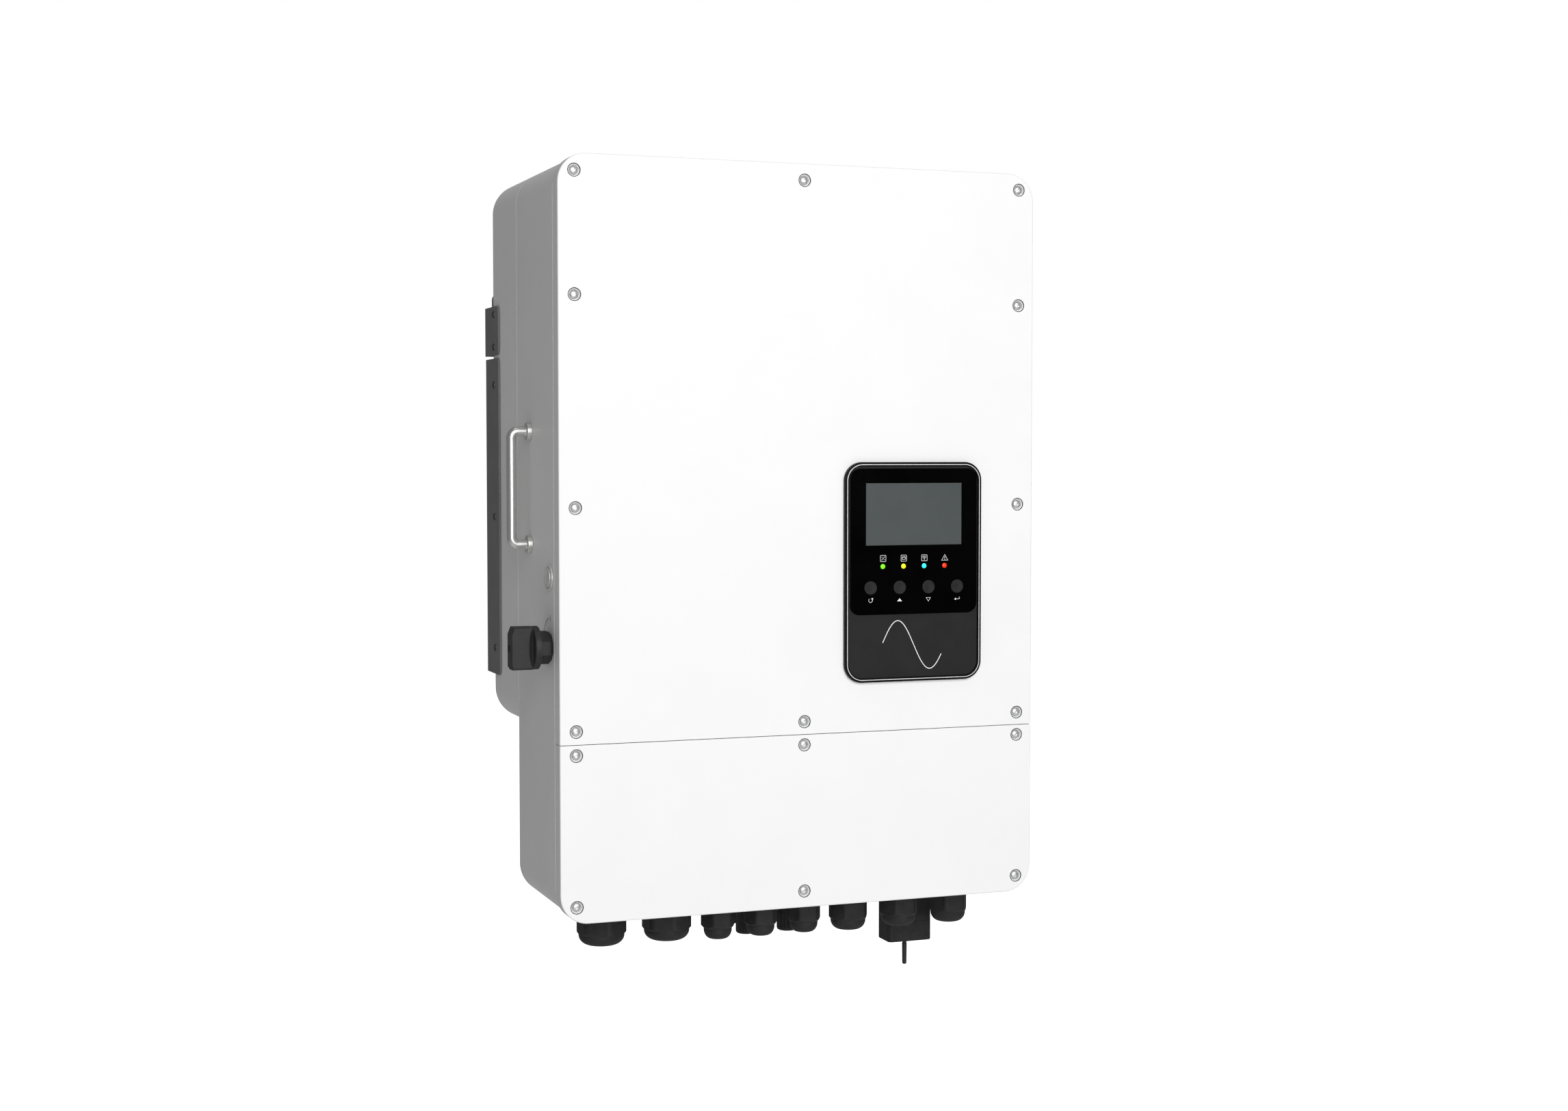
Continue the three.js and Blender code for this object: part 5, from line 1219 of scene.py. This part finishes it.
def aerialPiece():
    middleX, middleY = (aerialLow.x + aerialHigh.x) / 2, (aerialLow.y + aerialHigh.y) / 2
    r, top, low = (aerialHigh.x - aerialLow.x) / 2, aerialHigh.z, aerialLow.z
    return turned([(0, top), (r, top), (r, top - 2.6), (r - 0.4, top - 3.0), (r - 0.4, top - 3.6),
                   (r - 0.1, top - 4.0), (r * 0.88, low + 1.4), (r * 0.72, low + 0.45), (r * 0.4, low + 0.06),
                   (0, low)], (middleX, middleY, 0), steps=40)


piece(loggerPiece(), "logger_case", blackPolyamide, ["datalogger_housing"])
piece(aerialPiece(), "logger_aerial", blackPolyamide, ["datalogger_antenna"])
print("connectors and logger made")

# pieces whose CAD shape is shown as it is
shownAsBuilt = {
    "gasket_upper": siliconeRubber, "gasket_lower": siliconeRubber, "heat_sink": extrudedAluminium,
    "inductor_block": extrudedAluminium, "fan_frame_left": fanPolyester, "fan_frame_right": fanPolyester,
    "fan_rotor_left": fanPolyester, "fan_rotor_right": fanPolyester, "lcd_module": liquidCrystal,
    "display_board": solderMask, "power_board": solderMask, "control_board": solderMask,
    "capacitor_bank": shrinkSleeve, "terminal_block": greenPolyamide}
for node, material in shownAsBuilt.items():
    for place in frame["nodes"][node].material_slots:
        place.material = material

# pale floor, a wide soft light in front, a smaller one above, a dim even surround; the backdrop is white
stageLook = {"floorDrop": 1.3, "floorSize": 14, "floorGlow": 1.0, "surround": 0.192, "aim": (0, -0.15, -0.2),
             "lights": (("key", (-0.1, -3.0, 0.55), 2.2, 76), ("top", (0.2, -0.4, 2.2), 1.6, 9)),
             "lens": 50.648, "sensor": 36, "cameraPlace": (-0.66875, -2.00256, -0.11654),
             "cameraTilt": -2.654, "cameraTurn": -20.457}


def buildStage():
    bm = bmesh.new()
    bmesh.ops.create_grid(bm, x_segments=8, y_segments=8, size=stageLook["floorSize"])
    bmesh.ops.translate(bm, vec=(0, 0, bottomZ / 1000 - stageLook["floorDrop"]), verts=bm.verts)
    floor = loose(bm, "studio_floor")
    # white studio paper; it glows only as seen, so that it fades into the backdrop
    paper = finishMaterial("studioPaper", {
        "tones": ("#F6F6F6", "#FAFAFA"), "mottleMm": 400, "grainMm": 6, "grainDepthMm": 0.05,
        "rough": (0.8, 0.9), "sockets": {"Emission Color": (1, 1, 1, 1)}})
    tree = paper.node_tree
    seen = addNode(tree, "LightPath").outputs["Is Camera Ray"]
    glow = addNode(tree, "Math", {1: stageLook["floorGlow"]}, {0: seen}, operation="MULTIPLY")
    tree.links.new(glow.outputs["Value"], tree.nodes["Principled BSDF"].inputs["Emission Strength"])
    floor.data.materials.append(paper)
    for name, place, size, power in stageLook["lights"]:
        light = bpy.data.lights.new("studio_" + name, "AREA")
        light.shape = "SQUARE"
        light.size = size
        light.energy = power
        studioLamp = bpy.data.objects.new("studio_" + name, light)
        studioLamp.location = place
        aimed = Vector(stageLook["aim"]) - Vector(place)
        studioLamp.rotation_euler = aimed.to_track_quat("-Z", "Y").to_euler()
        bpy.context.scene.collection.objects.link(studioLamp)


def buildWorld():
    world = bpy.data.worlds.new("studio_surround")
    world.use_nodes = True
    tree = world.node_tree
    dim = tree.nodes["Background"]
    dim.inputs["Color"].default_value = (1, 1, 1, 1)  # even white, dimmed by its strength
    dim.inputs["Strength"].default_value = stageLook["surround"]
    white = addNode(tree, "Background", {"Color": (1, 1, 1, 1), "Strength": 1.0})
    seen = addNode(tree, "LightPath").outputs["Is Camera Ray"]
    mix = addNode(tree, "MixShader", links={0: seen, 1: dim.outputs[0], 2: white.outputs[0]})
    tree.links.new(mix.outputs[0], tree.nodes["World Output"].inputs["Surface"])
    bpy.context.scene.world = world


def buildCamera():
    lens = bpy.data.cameras.new("studio_camera")
    lens.lens = stageLook["lens"]
    lens.sensor_width = stageLook["sensor"]
    lens.clip_start = 0.05
    camera = bpy.data.objects.new("studio_camera", lens)
    camera.location = stageLook["cameraPlace"]
    camera.rotation_euler = (radians(90 + stageLook["cameraTilt"]), 0, radians(stageLook["cameraTurn"]))
    bpy.context.scene.collection.objects.link(camera)
    bpy.context.scene.camera = camera


buildStage()
buildWorld()
buildCamera()
bpy.context.scene.view_settings.view_transform = "Standard"
print("stage built")
